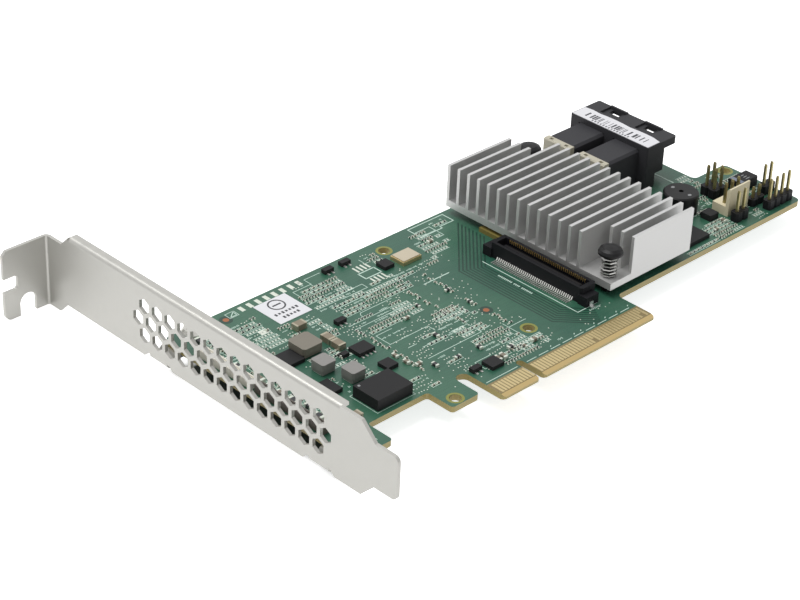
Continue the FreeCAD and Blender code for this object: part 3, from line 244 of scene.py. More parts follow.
deselectAll()
bpy.ops.mesh.primitive_grid_add(x_subdivisions=8, y_subdivisions=8, size=studio["floorSize"],
                                location=(0, 0, studio["floorLevel"] * mm))
floor = settle(nameActive("studioFloor"))
floorMaterial, tree, shader, place = startMaterial("whitePaperSweep", studio["floorColour"],
                                                   0.0, studio["floorRough"])
shader.inputs["Specular IOR Level"].default_value = 0.0
floorAxes = addNode(tree, "ShaderNodeSeparateXYZ",
                    inputs={"Vector": inMillimetres(tree, place)}).outputs
depths = []
for axis, (low, high) in zip(("X", "Y"), studio["shade"]):
    middle = addMath(tree, "SUBTRACT", floorAxes[axis], (low + high) / 2)
    depths.append(addMath(tree, "SUBTRACT", (high - low) / 2, addMath(tree, "ABSOLUTE", middle)))
inside = addMath(tree, "MINIMUM", *depths)
# inside the shade the glow is taken away, and the paper's colour is painted darker as a shadow
glowShare = remap(tree, inside, 0.0, studio["shadeSoft"], 1.0, 0.0)
shadowPaintShare = remap(tree, inside, studio["shadowPaintFrom"], studio["shadeSoft"])
paper = mixColours(tree, shadowPaintShare, linearColour(studio["floorColour"]),
                   linearColour(studio["floorShadowPaint"]))
tree.links.new(paper, shader.inputs["Base Color"])
floorRays = addNode(tree, "ShaderNodeLightPath").outputs
floorSeen = addMath(tree, "MAXIMUM", floorRays["Is Camera Ray"], floorRays["Is Glossy Ray"])
glow = addMath(tree, "MULTIPLY", addMath(tree, "MULTIPLY", floorSeen, studio["floorGlow"]),
               glowShare)
shader.inputs["Emission Color"].default_value = (1, 1, 1, 1)
tree.links.new(glow, shader.inputs["Emission Strength"])
floor.data.materials.append(floorMaterial)
print("camera, lamps and floor placed")

# Finishes of the CAD pieces: colour, metallic, roughness, grain mm, depth mm, variation.
# The real grain of these surfaces is a tenth of a millimetre or finer, and a pixel of the
# picture is about 0.25 mm, so each grain is drawn as coarse as it needs to show.
# zinc plated sheet steel: a soft grey metal with faint clouds, and no mirror
zincSteel = finishSurface("zincPlatedSteel", "b4b3ae", 0.6, 0.42, 1.6, 0.004, 0.03)
# nickel plated steel: brighter and smoother than the bracket
screwSteel = finishSurface("nickelPlatedSteel", "c9c8c2", 0.95, 0.28, 0.9, 0.003, 0.05)
# drawn wire: bright lines of light along the turns of the spring
springSteel = finishSurface("drawnSpringWire", "b9b9b6", 0.95, 0.3, 0.3, 0.003, 0.06)
# extruded and barrel finished: pale and satin, with fine streaks along the fins
extrudedAluminium = finishSurface("extrudedAluminium", "c4c4c3", 0.6, 0.48, 0.35, 0.006, 0.06,
                                  stretch=(0.06, 1, 1))
# hard gold plate: pale, with a soft shine that is the same on every contact
hardGold = finishSurface("hardGoldPlate", "cbb98a", 0.7, 0.34, 0.5, 0.002, 0.05)
# flash gold on drawn posts: thin, dull and brownish
flashGold = finishSurface("flashGoldPosts", "a0966a", 0.85, 0.4, 0.4, 0.002, 0.12)
# tin over fired ends: dull, warm and a little blotchy
firedTin = finishSurface("firedEndTin", "aca592", 0.7, 0.42, 0.3, 0.003, 0.08)
# gold coloured lid, seam welded: flat and silky
goldenLid = finishSurface("seamWeldedLid", "c3b9a4", 0.8, 0.42, 0.5, 0.002, 0.04)
# matte tin plate: light grey leads with a soft shine
matteTin = finishSurface("matteTinPlate", "cfcfca", 0.85, 0.38, 0.3, 0.002, 0.06)
# moulded nylon: black with a low, soft shine
blackNylon = finishSurface("mouldedNylon", "151516", 0.0, 0.36, 0.35, 0.006, 0.15, sheen=0.2)
# moulded liquid crystal polymer: black and matte, with a fine mottle
blackPolymer = finishSurface("mouldedLiquidCrystalPolymer", "19191c", 0.0, 0.48, 0.25, 0.006, 0.12,
                             sheen=0.15)
# glass filled polymer: dark grey and dull, because the fibres roughen its skin
portPolymer = finishSurface("filledConnectorPolymer", "3b3b3e", 0.0, 0.5, 0.3, 0.008, 0.12,
                            sheen=0.12)
# polymer without pigment: dull beige
beigePolymer = finishSurface("beigePolymer", "bab5a3", 0.0, 0.5, 0.3, 0.005, 0.05)
# nylon without pigment: warm cream with a soft shine
creamNylon = finishSurface("creamNylon", "dcd2b4", 0.0, 0.45, 0.4, 0.005, 0.04)
# moulded epoxy full of fine silica: near black, matte and speckled
epoxyPackage = finishSurface("mouldedEpoxyPackage", "262627", 0.0, 0.55, 0.12, 0.006, 0.14,
                             sheen=0.15)
# iron powder pressed with a binder: grainy, dull and brownish grey
ironPowder = finishSurface("pressedIronPowder", "7b766b", 0.1, 0.55, 0.18, 0.01, 0.14)
# a greyer powder of the same kind
greyPowder = finishSurface("greyIronPowder", "8a8885", 0.1, 0.55, 0.18, 0.01, 0.12)
# fired ceramic: brownish grey with a faint gloss
firedCeramic = finishSurface("firedCeramic", "857a67", 0.0, 0.42, 0.3, 0.004, 0.1)
# coated paper: even and white, without shine
labelPaper = finishSurface("coatedLabelPaper", "e2e2e6", 0.0, 0.55, 0.6, 0.003, 0.015)
# silicone full of ceramic powder: grey and quite dull
gapPad = finishSurface("siliconeGapPad", "8d8f90", 0.0, 0.7, 0.3, 0.01, 0.08)
# glass laminate of the package's carrier: dull olive
packageLaminate = finishSurface("packageLaminate", "7d7038", 0.0, 0.5, 0.3, 0.004, 0.1)
# nickel plated lid: an even satin grey metal
lidNickel = finishSurface("nickelLid", "a9a9a6", 0.85, 0.4, 0.4, 0.003, 0.05)

# Liquid photo-imaged mask over copper on glass laminate: satin green that slowly wanders in
# tone, faint copper under it, bare laminate round the contacts and on the routed edges.
# Real traces stand about 0.25 mm apart, too fine to show, and are drawn 0.35 mm apart.
# The cloth layers on the edges are drawn 0.26 mm thick, six to the board. Lengths in mm.
boardSetup = {
    "mask": "34624c", "maskDark": "245443", "rough": 0.36, "laminate": "84744c",
    "rim": "c3aa72", "rimWide": 1.15, "edge": "bcab6c", "edgeDark": "9c8e55", "edgeSlope": 0.5,
    "bareTop": 5.75, "bareLeft": -13.2, "cloud": 26, "cloudLow": 0.35, "cloudHigh": 0.65,
    "copper": 1.1, "copperLong": 3.4, "copperWide": 0.32, "copperGap": 0.07,
    "copperShift": 0.37, "copperShare": 0.12, "layers": 24.0, "bumpDeep": 0.02,
    "bumpStrength": 0.25}
maskMaterial, tree, shader, place = startMaterial("satinSolderMask", boardSetup["mask"], 0.0,
                                                  boardSetup["rough"])
inMm = inMillimetres(tree, place)
cloud = addNode(tree, "ShaderNodeTexNoise",
                inputs={"Vector": inMm, "Scale": 1 / boardSetup["cloud"], "Detail": 3.0})
cloudShare = remap(tree, cloud.outputs["Fac"], boardSetup["cloudLow"], boardSetup["cloudHigh"])
green = mixColours(tree, cloudShare, linearColour(boardSetup["maskDark"]),
                   linearColour(boardSetup["mask"]))
copper = addNode(tree, "ShaderNodeTexBrick",
                 {"offset": boardSetup["copperShift"], "squash": 1.0},
                 {"Vector": inMm, "Scale": 1 / boardSetup["copper"],
                  "Brick Width": boardSetup["copperLong"],
                  "Row Height": boardSetup["copperWide"],
                  "Mortar Size": boardSetup["copperGap"], "Color1": (0, 0, 0, 1),
                  "Color2": (1, 1, 1, 1), "Mortar": (0.5, 0.5, 0.5, 1)})
greenCopper = mixColours(tree, boardSetup["copperShare"], green, copper.outputs["Color"],
                         "SOFT_LIGHT")
axes = addNode(tree, "ShaderNodeSeparateXYZ", inputs={"Vector": inMm}).outputs
bare = addMath(tree, "MULTIPLY", addMath(tree, "LESS_THAN", axes["Y"], boardSetup["bareTop"]),
               addMath(tree, "GREATER_THAN", axes["X"], boardSetup["bareLeft"]))
onRim = addMath(tree, "LESS_THAN", axes["Y"], boardSetup["rimWide"])
bareColour = mixColours(tree, onRim, linearColour(boardSetup["laminate"]),
                        linearColour(boardSetup["rim"]))
topColour = mixColours(tree, bare, greenCopper, bareColour)
normal = addNode(tree, "ShaderNodeNewGeometry").outputs["True Normal"]
slope = addNode(tree, "ShaderNodeSeparateXYZ", inputs={"Vector": normal}).outputs["Z"]
onEdge = addMath(tree, "LESS_THAN", addMath(tree, "ABSOLUTE", slope), boardSetup["edgeSlope"])
layers = addMath(tree, "SINE", addMath(tree, "MULTIPLY", axes["Z"], boardSetup["layers"]))
edgeColour = mixColours(tree, remap(tree, layers, -1.0, 1.0),
                        linearColour(boardSetup["edgeDark"]), linearColour(boardSetup["edge"]))
tree.links.new(mixColours(tree, onEdge, topColour, edgeColour), shader.inputs["Base Color"])
addBump(tree, shader, copper.outputs["Fac"], boardSetup["bumpDeep"],
        boardSetup["bumpStrength"])

cadFinishes = {
    "circuit_board": maskMaterial, "edge_contacts": hardGold, "bracket": zincSteel,
    "bracket_screws": screwSteel, "controller_substrate": packageLaminate,
    "controller_lid": lidNickel, "thermal_pad": gapPad, "heatsink": extrudedAluminium,
    "push_pin_front": blackNylon, "push_pin_back": blackNylon, "pin_spring_front": springSteel,
    "pin_spring_back": springSteel, "port_shroud": portPolymer, "port_body_a": portPolymer,
    "port_body_b": portPolymer, "port_organizer_a": beigePolymer,
    "port_organizer_b": beigePolymer, "port_tails": matteTin, "stack_housing": blackPolymer,
    "stack_leads": matteTin, "lock_header_housing": creamNylon, "buzzer": blackNylon,
    "inductor_large": ironPowder, "inductor_small_a": greyPowder,
    "inductor_small_b": greyPowder, "inductor_terminals": matteTin,
    "tantalum_capacitor": epoxyPackage, "tantalum_terminals": matteTin,
    "memory_block": epoxyPackage, "memory_chip_front": epoxyPackage,
    "oscillator_base": hardGold, "oscillator_lid": goldenLid, "plain_chips": epoxyPackage,
    "leaded_chips": epoxyPackage, "chip_leads": matteTin, "ceramic_capacitors": firedCeramic,
    "capacitor_terminals": firedTin, "board_label": labelPaper, "port_label": labelPaper,
    "memory_chips_back": epoxyPackage}
for nodeName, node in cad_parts.items():
    if nodeName.endswith("_posts"):
        finish = flashGold
    elif nodeName.endswith("_housing") and nodeName not in cadFinishes:
        finish = blackPolymer
    else:
        finish = cadFinishes[nodeName]
    for slot in node.material_slots:
        slot.material = finish
print("finishes given to the CAD pieces")

# Finishes of what this script adds, with their grain drawn coarse in the same way
# printed epoxy ink: flat and pale, with a tint of the mask under it
silkInk = finishSurface("epoxySilkInk", "c6ddd1", 0.0, 0.6, 0.4, 0.003, 0.05)
# solder levelled pads: pale and bright, because they mirror a white surround
padTin = finishSurface("levelledPadTin", "d9dfd3", 0.3, 0.4, 0.3, 0.002, 0.06)
# glazed film resistors: black with a small sharp shine
resistorBlack = finishSurface("resistorGlaze", "29292b", 0.0, 0.35, 0.2, 0.003, 0.15)
# small fired ceramic capacitors: tan with a faint gloss
capacitorTan = finishSurface("capacitorTan", "7d7566", 0.0, 0.42, 0.2, 0.003, 0.12)
# mask over laminate without copper: the darkest green of the board
maskOnGlass = finishSurface("maskOverBareLaminate", "0e3629", 0.0, 0.36, 0.8, 0.002, 0.05)
# mask over a ring of copper: olive yellow
ringMask = finishSurface("maskedAnnularRing", "84853a", 0.0, 0.4, 0.8, 0.002, 0.08)
# bare etched copper: dull orange brown
bareCopper = finishSurface("bareCopperTarget", "a0623f", 0.3, 0.4, 0.5, 0.002, 0.05)
# thermal print: soft dark grey without shine
printBlack = finishSurface("thermalPrintBlack", "3a3a40", 0.0, 0.6, 0.3, 0.001, 0.1)
# printed marks on mouldings: matte pale grey
paleMark = finishSurface("paleMouldMark", "8d8f90", 0.0, 0.5, 0.2, 0.002, 0.08)
# band marked on moulded epoxy: greyish blue, a little glossier than the body
markBlue = finishSurface("laserMarkBand", "6f7889", 0.0, 0.45, 0.3, 0.002, 0.06)
# gold plated spring strips, their colour lightened as a painted highlight: yellow glints in the
# dark mouths
contactGoldAndGlint = finishSurface("springContactGoldAndGlint", "e6c684", 0.85, 0.3, 0.4, 0.002, 0.06)
# solder that has melted and set: bright, with soft ripples
solderBright = finishSurface("reflowedSolder", "c6c8c6", 0.85, 0.28, 0.4, 0.004, 0.06)


# Base shapes that are copied, each 1 mm across and drawn at the origin. The film is the
# thickness of ink, pads and print.
baseSetup = {
    "film": 0.02, "inkTaper": 0.96, "dotSides": 8, "dotTaper": 0.9, "discSides": 28,
    "discTaper": 0.96, "contactBevel": 0.12, "coneSides": 12,
    "coneSteps": ((0.75, 0.25), (0.62, 0.3), (0.6, 0.2))}
chipModel = {"long": 1.0, "wide": 0.5, "tall": 0.4, "end": 0.24, "round": 0.03}


def raiseFaces(tall, taper=1.0):
    # in edit mode: the selected faces go up by tall mm and shrink
    bpy.ops.mesh.extrude_region_move(TRANSFORM_OT_translate={"value": (0, 0, tall * mm)})
    bpy.ops.transform.resize(value=(taper, taper, 1))


def makeInkMark():
    deselectAll()
    bpy.ops.mesh.primitive_plane_add(size=mm)
    bpy.ops.object.mode_set(mode="EDIT")
    raiseFaces(baseSetup["film"], baseSetup["inkTaper"])
    bpy.ops.object.mode_set(mode="OBJECT")
    return nameActive("inkMark")


def startRound(sides):
    # a filled circle, left in edit mode
    deselectAll()
    bpy.ops.mesh.primitive_circle_add(vertices=sides, radius=0.5 * mm, fill_type="NGON")
    bpy.ops.object.mode_set(mode="EDIT")


def makeDot(name, sides, taper):
    startRound(sides)
    raiseFaces(baseSetup["film"], taper)
    bpy.ops.object.mode_set(mode="OBJECT")
    return nameActive(name)


def makeRing(name, inner):
    # a flat ring, inner is its hole as a share of its width
    startRound(baseSetup["discSides"])
    bpy.ops.mesh.inset(thickness=0.5 * (1 - inner) * mm)
    bpy.ops.mesh.delete(type="FACE")
    bpy.ops.mesh.select_all(action="SELECT")
    raiseFaces(baseSetup["film"])
    bpy.ops.object.mode_set(mode="OBJECT")
    return nameActive(name)


def makeContact():
    # a small bar of sheet metal with bevelled edges
    deselectAll()
    bpy.ops.mesh.primitive_cube_add(size=mm)
    piece = nameActive("contactStrip")
    bpy.ops.object.mode_set(mode="EDIT")
    bpy.ops.mesh.bevel(offset=baseSetup["contactBevel"] * mm, segments=1)
    bpy.ops.object.mode_set(mode="OBJECT")
    return piece


def makeSolderCone():
    # the fillet of solder round a pin, hanging from the solder side
    startRound(baseSetup["coneSides"])
    for taper, drop in baseSetup["coneSteps"]:
        raiseFaces(-drop, taper)
    bpy.ops.mesh.select_all(action="SELECT")
    bpy.ops.mesh.normals_make_consistent(inside=False)
    bpy.ops.object.mode_set(mode="OBJECT")
    return nameActive("solderCone")


def makeChipPart(name, bodyMaterial):
    # a body between two plated ends, on the board at z = 0
    deselectAll()
    bpy.ops.mesh.primitive_cube_add(
        size=mm, location=(0, 0, chipModel["tall"] * 0.5 * mm),
        scale=(chipModel["long"], chipModel["wide"], chipModel["tall"]))
    piece = settle(nameActive(name))
    bpy.ops.object.mode_set(mode="EDIT")
    bpy.ops.mesh.select_all(action="SELECT")
    bpy.ops.mesh.bevel(offset=chipModel["round"] * mm, segments=1)
    reach = (chipModel["long"] * 0.5 - chipModel["end"]) * mm
    for side in (-1, 1):
        bpy.ops.mesh.select_all(action="SELECT")
        bpy.ops.mesh.bisect(plane_co=(side * reach, 0, 0), plane_no=(1, 0, 0))
    bpy.ops.object.mode_set(mode="OBJECT")
    piece.data.materials.append(bodyMaterial)
    piece.data.materials.append(padTin)
    for face in piece.data.polygons:
        face.material_index = 1 if abs(face.center.x) > reach else 0
    return piece


inkMark = makeInkMark()
dot = makeDot("dot", baseSetup["dotSides"], baseSetup["dotTaper"])
disc = makeDot("disc", baseSetup["discSides"], baseSetup["discTaper"])
ring = makeRing("ring", 0.7)
thinRing = makeRing("thinRing", 0.82)
contact = makeContact()
solderCone = makeSolderCone()
resistor = makeChipPart("resistorModel", resistorBlack)
capacitor = makeChipPart("capacitorModel", capacitorTan)
print("base shapes modelled")

# Lists of what goes on the board, filled by the functions below. The side that is being
# drawn is +1 for the component side and -1 for the solder side. Lengths in mm.
draw = random.Random(41)
side = {"level": 0.0, "way": 1}
layout = {
    "ink": 0.17, "rail": 0.16, "railReach": 0.52, "railEnd": 0.1, "padTall": 0.8,
    "partPad": (0.48, 0.55), "resistorShare": 0.45, "flatScale": 0.88, "uprightScale": 0.8,
    "runPad": (0.55, 0.5), "padHole": 0.3, "holeTall": 1.2, "wordStart": 0.3,
    "wordTall": 0.62, "wordEnd": 0.4, "via": 0.36, "viaShifts": (-0.25, 0, 0.25)}
# kind of run: its step, and how many places it takes for each count and beyond
runSetup = {"parts": (1.5, 1, 0), "upright": (0.95, 2, 0), "pads": (0.95, 2, 0),
            "words": (0.36, 2, 0), "vias": (0.8, 1, 1), "gap": (0.7, 1, 0)}
rowSetup = {"starts": (0, 0.4, 0.8), "fewest": 2, "most": 6, "room": 1.8, "over": 0.4,
            "end": 1.0, "gap": 0.25}
inkSpots = []
dotSpots = []
padSpots = []
resistorSpots = []
capacitorSpots = []


def put(spots, x, y, sizeX, sizeY, sizeZ=1.0, turn=0.0):
    way = side["way"]
    spots.append((x, y, side["level"], sizeX, sizeY * way, sizeZ * way, turn))


def line(x0, y0, x1, y1, wide=layout["ink"], spots=inkSpots, tall=1.0):
    long = math.hypot(x1 - x0, y1 - y0) + wide
    put(spots, (x0 + x1) / 2, (y0 + y1) / 2, long, wide, tall,
        math.degrees(math.atan2(y1 - y0, x1 - x0)))


def path(points, wide=layout["ink"], spots=inkSpots, tall=1.0):
    for (x0, y0), (x1, y1) in zip(points, points[1:]):
        line(x0, y0, x1, y1, wide, spots, tall)


def boxLines(x0, y0, x1, y1, wide=layout["ink"]):
    line(x0, y0, x1, y0, wide)
    line(x0, y1, x1, y1, wide)
    line(x0, y0, x0, y1, wide)
    line(x1, y0, x1, y1, wide)


def strokes(x, y, count, tall=0.75, step=0.42):
    # plain marks where a designator would stand
    for k in range(count):
        put(inkSpots, x + step * k, y, layout["ink"], tall * draw.choice((1, 0.6, 1)), 1.0,
            draw.choice((0, 0, 90)))


def smallPart(x, y, upright=False, scale=1.0):
    spots = resistorSpots if draw.random() < layout["resistorShare"] else capacitorSpots
    turn = 90 if upright else 0
    put(spots, x, y, scale, scale, scale, turn)
    reach = 0.5 * scale
    padLong, padWide = layout["partPad"]
    for way in (-1, 1):
        spotX, spotY = (x, y + way * reach) if upright else (x + way * reach, y)
        put(padSpots, spotX, spotY, padLong * scale, padWide * scale, layout["padTall"], turn)


def rails(x0, x1, y):
    # two long ink lines that hold a run between them
    for reach in (layout["railReach"], -layout["railReach"]):
        line(x0 + layout["railEnd"], y + reach, x1 - layout["railEnd"], y + reach,
             layout["rail"])


def runOf(kind, x, y, count):
    # one run of like things along a row; gives back where it ends
    step, times, extra = runSetup[kind]
    places = count * times + extra
    end = x + step * places
    middles = [x + step * (k + 0.5) for k in range(places)]
    if kind == "parts":
        for middle in middles:
            smallPart(middle, y, scale=layout["flatScale"])
    elif kind == "upright":
        for middle in middles:
            smallPart(middle, y, True, layout["uprightScale"])
    elif kind == "pads":
        for middle in middles:
            put(padSpots, middle, y, *layout["runPad"], layout["padTall"])
            put(dotSpots, middle, y, layout["padHole"], layout["padHole"], layout["holeTall"])
    elif kind == "words":
        strokes(x + layout["wordStart"], y, places, layout["wordTall"], step)
        end += layout["wordEnd"]
    elif kind == "vias":
        for middle in middles:
            put(dotSpots, middle, y + draw.choice(layout["viaShifts"]), layout["via"],
                layout["via"])
    if kind in ("parts", "pads"):
        rails(x, end, y)
    return end


def fillZone(x0, y0, x1, y1, mix, pitch=1.5):
    # rows of runs, one above another, as the real board is laid out
    y = y0 + pitch / 2
    while y < y1 - pitch / 3:
        x = x0 + draw.choice(rowSetup["starts"])
        while x < x1 - rowSetup["end"]:
            kind = draw.choice(mix)
            count = draw.randint(rowSetup["fewest"], rowSetup["most"])
            while count > 1 and x + rowSetup["room"] * count > x1 + rowSetup["over"]:
                count -= 1
            x = runOf(kind, x, y, count) + rowSetup["gap"]
        y += pitch


def scatterDots(x0, y0, x1, y1, count, across=0.34):
    # vias stand on a half millimetre grid
    for k in range(count):
        x = round(draw.uniform(x0, x1) * 2) / 2 + 0.1
        y = round(draw.uniform(y0, y1) * 2) / 2
        put(dotSpots, x, y, across, across)


dense = ("parts", "parts", "pads", "words", "vias", "upright")
loose = ("parts", "vias", "vias", "words", "gap", "gap")
mixed = ("parts", "pads", "words", "vias", "upright", "gap")
marks = ("pads", "words", "upright", "parts", "gap")

# Long lines and frames, placed as they stand on the board
path([(-12.7, 64.4), (-12.7, 67.0), (-7.6, 67.0)])
boxLines(-18.6, 61.6, -12.9, 64.4)
boxLines(-19.2, 58.0, -15.4, 61.0)
path([(-17.2, 56.4), (-3.4, 56.4), (-3.4, 54.4), (-11.6, 54.4)])
path([(-14.9, 50.2), (-14.9, 52.0), (-2.2, 52.0)])
path([(-13.5, 45.4), (-13.5, 46.2), (-12.8, 47.0), (-2.6, 47.0)])
path([(-18.8, 44.3), (-2.9, 44.3), (-2.9, 42.4), (-18.8, 42.4)])
path([(-12.0, 37.2), (-17.1, 37.2), (-17.1, 32.4), (-4.8, 32.4), (-4.8, 30.0)])
path([(-14.9, 28.6), (-12.3, 28.6)])
path([(-4.2, 29.6), (-0.4, 29.6)])
path([(-14.6, 22.3), (2.9, 22.3), (2.9, 26.9), (-3.2, 26.9)])
path([(-12.2, 26.6), (-4.4, 26.6)])
path([(9.2, 14.9), (9.2, 21.4)])
path([(9.2, 19.4), (15.0, 19.4)])
path([(4.2, 23.0), (6.6, 23.0)])
path([(8.0, 46.4), (16.4, 46.4)], 0.3)
path([(-6.8, 10.6), (-7.9, 10.6), (-7.9, 14.0), (-2.6, 14.0)])
boxLines(-0.9, 57.5, 4.3, 60.3, 0.34)
path([(3.9, 65.2), (3.9, 62.9), (5.2, 62.9)])
path([(23.5, 67.9), (35.9, 67.9), (35.9, 63.9), (31.0, 63.9), (31.0, 63.0), (23.5, 63.0),
      (23.5, 67.9)], 0.28)
boxLines(23.9, 63.3, 28.8, 65.6, 0.2)
path([(28.8, 62.6), (28.8, 60.3), (26.6, 60.3)])
path([(26.6, 44.7), (26.6, 13.1), (33.4, 13.1), (33.4, 14.2)], 0.24)
path([(94.5, 46.4), (94.5, 40.2)], 0.5)
boxLines(-38.95, 13.95, -27.2, 22.95, 0.12)
boxLines(-37.6, 65.3, -34.9, 67.4)
path([(-37.2, 65.6), (-35.3, 67.1), (-35.3, 65.6), (-37.2, 65.6)], 0.22)
path([(-11.8, 6.45), (-1.7, 6.45)], 0.2)
dashes = {"count": 9, "first": 1.6, "long": 3.0, "step": 4.1, "y": 6.4, "wide": 0.2}
for k in range(dashes["count"]):
    x = dashes["first"] + dashes["step"] * k
    path([(x, dashes["y"]), (x + dashes["long"], dashes["y"])], dashes["wide"])
for x in (10.6, 18.8, 21.1, 25.8, 29.8, 33.8, 38.0):
    put(inkSpots, x, 7.3, 0.6, 0.22, 1.0, 40)
strokes(14.0, 8.0, 4)
strokes(29.5, 11.8, 9, 0.6, 0.44)
strokes(-47.5, 8.4, 4, 1.0, 0.5)
strokes(-47.5, 7.0, 4, 1.0, 0.5)
comb = {"count": 22, "missing": (7, 12), "x": 24.7, "low": 26.4, "step": 0.52,
        "size": (0.62, 0.3)}
for k in range(comb["count"]):
    if k not in comb["missing"]:
        put(inkSpots, comb["x"], comb["low"] + comb["step"] * k, *comb["size"])

# Eight bare pads along the top edge, and a place left for an eight lead package
barePads = {
    "topCount": 8, "topFirst": -32.85, "topStep": 2.6, "topY": 66.8, "topSize": (1.15, 2.1),
    "chipCount": 4, "chipStep": 1.24, "chipRows": (62.1, 55.8), "chipSize": (0.55, 2.5)}
for k in range(barePads["topCount"]):
    put(padSpots, barePads["topFirst"] + barePads["topStep"] * k, barePads["topY"],
        *barePads["topSize"])
for k in range(barePads["chipCount"]):
    for y in barePads["chipRows"]:
        put(padSpots, barePads["chipStep"] * k, y, *barePads["chipSize"])
put(padSpots, -35.6, 55.7, 2.4, 1.9)

# Larger parts one by one: where, how big beside the model, upright or not, and which model
for x, y, scale, upright, spots in (
        (9.4, 11.5, 2.1, False, capacitorSpots), (5.9, 11.1, 1.5, True, capacitorSpots),
        (2.9, 12.9, 1.9, False, resistorSpots), (-1.3, 11.3, 2.2, True, capacitorSpots),
        (-3.1, 11.3, 2.2, True, capacitorSpots), (-2.6, 17.7, 1.8, True, resistorSpots),
        (-6.6, 27.9, 1.9, True, resistorSpots), (-19.9, 27.9, 1.8, True, capacitorSpots),
        (-19.8, 24.3, 1.9, True, capacitorSpots), (-18.3, 21.9, 1.9, False, capacitorSpots),
        (-15.7, 19.1, 1.9, True, resistorSpots), (-9.4, 18.1, 1.7, False, resistorSpots),
        (10.2, 33.2, 1.6, True, resistorSpots), (10.0, 40.6, 1.6, False, resistorSpots),
        (-6.4, 37.9, 1.7, False, capacitorSpots), (-0.5, 40.1, 1.5, True, resistorSpots),
        (23.4, 59.9, 1.8, False, capacitorSpots), (88.2, 18.2, 1.8, True, capacitorSpots),
        (83.1, 16.4, 1.7, False, capacitorSpots), (86.4, 24.6, 1.6, False, resistorSpots),
        (-31.2, 47.2, 1.9, True, capacitorSpots), (-29.4, 36.4, 1.7, True, resistorSpots)):
    put(spots, x, y, scale, scale, scale, 90 if upright else 0)

# A loose row of power parts behind the bracket, seen through its holes
behind = {"x": -49.6, "low": 13.5, "high": 62.0, "sizes": (1.7, 2.2, 2.9),
          "shifts": (-0.6, 0.6, 1.8), "taller": 1.1, "frame": (0.45, 0.7), "ink": 0.15,
          "step": 1.6}
y = behind["low"]
while y < behind["high"]:
    scale = draw.choice(behind["sizes"])
    x = behind["x"] + draw.choice(behind["shifts"])
    put(draw.choice((resistorSpots, capacitorSpots)), x, y, scale, scale,
        scale * behind["taller"], 90)
    reachX, reachY = (scale * reach for reach in behind["frame"])
    boxLines(x - reachX, y - reachY, x + reachX, y + reachY, behind["ink"])
    y += behind["step"] * scale

# Columns of small parts across the middle of the board
columns = {"shifts": (0, 0, 0.5), "upright": 0.5, "scale": 0.9, "steps": (1.1, 1.4, 2.2)}
for x, low, high in ((2.4, 28.0, 50.0), (10.6, 20.6, 26.0), (10.6, 31.8, 36.0),
                     (10.6, 39.5, 50.0), (-19.0, 20.0, 42.0)):
    y = low
    while y < high:
        smallPart(x + draw.choice(columns["shifts"]), y, draw.random() < columns["upright"],
                  columns["scale"])
        y += draw.choice(columns["steps"])

# Zones of small parts: corner to corner, with what stands in them
for zone in ((-51, 49, -33.5, 63, dense), (-33, 47.5, -28.5, 55, dense),
             (-51, 23.5, -40.5, 39.5, mixed), (-51, 43.5, -38, 48.5, mixed),
             (-51, 14, -46.5, 23.5, mixed), (-20, 53, -5.5, 64, marks),
             (-20.5, 64.5, -13.5, 68.4, loose), (-17, 47.4, 6, 53.8, dense),
             (-3, 53.9, 6, 56.6, dense), (4, 51.6, 19.5, 54.8, dense),
             (19, 54.8, 26.0, 66.5, marks), (26.4, 57.2, 28.2, 62.8, marks),
             (29, 64.2, 35.4, 67.6, marks), (5, 61, 9.4, 67.8, mixed),
             (-22, 38, -0.5, 46.5, mixed), (-17, 22.6, 8, 37, loose),
             (-2, 31, 7, 36.5, marks), (-2.6, 22.8, 2.4, 27.2, marks),
             (-26, 43, -21.5, 56, mixed), (-31, 22.9, -27, 41, mixed),
             (-27.5, 12.9, -19, 19.5, loose), (-13, 12.6, -7, 21.5, loose),
             (-3, 13.6, 9, 21, dense), (-3, 8.2, 9, 13.4, mixed), (3, 9, 12.5, 14, mixed),
             (79.8, 12.6, 90.2, 20.0, dense), (80.5, 24.0, 90.2, 28, marks),
             (68, 12.4, 82, 14.8, dense), (42, 12.3, 68, 13.4, dense), (89, 26, 94.5, 40, mixed),
             (95.4, 33.5, 100, 42, marks), (100.5, 22.5, 111, 24.2, mixed),
             (99.5, 29.2, 111, 33, marks), (103, 33.4, 108.5, 37.2, marks),
             (96, 12.6, 101, 18.3, dense), (93.5, 24.3, 100.5, 26.6, dense),
             (93.6, 18.5, 99.8, 20.4, dense), (84, 34, 94, 37.4, mixed),
             (103.5, 17.2, 107, 20.4, mixed), (100, 26.4, 103.2, 29, marks),
             (-38.6, 37.2, -31, 40, mixed), (-38.6, 23.6, -35.7, 32.2, mixed),
             (-33.8, 30.2, -30, 34.6, mixed), (-38, 46.8, -31, 49, mixed)):
    fillZone(*zone)
scatterDots(-8, 20, 16, 50, 120)
scatterDots(-20, 46, 22, 56, 40)
scatterDots(4, 8, 40, 12, 14)
scatterDots(-20, 8, 16, 22, 40)

# The solder side: blocking capacitors under the controller and the memory, and its ink
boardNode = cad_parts["circuit_board"]
boardBottom = min((boardNode.matrix_world @ Vector(c)).z for c in boardNode.bound_box) / mm
solderPitch = 1.9
side = {"level": boardBottom, "way": -1}
for zone in ((41, 26, 64, 33, loose), (41, 48, 64, 56, loose), (-40, 22, -16, 52, loose),
             (-12, 50, 34, 64, loose), (66, 16, 96, 30, loose), (22, 14, 40, 24, mixed)):
    fillZone(*zone, solderPitch)
scatterDots(-48, 14, 96, 66, 260)
path([(3.4, 33.4), (3.4, 47.6), (26.6, 47.6), (26.6, 33.4), (3.4, 33.4)], 0.2)
path([(65.4, 33.4), (65.4, 47.6), (88.6, 47.6), (88.6, 33.4), (65.4, 33.4)], 0.2)
side = {"level": 0.0, "way": 1}
print(len(inkSpots), "ink marks,", len(padSpots), "pads,", len(dotSpots), "dots,",
      len(resistorSpots) + len(capacitorSpots), "small parts")

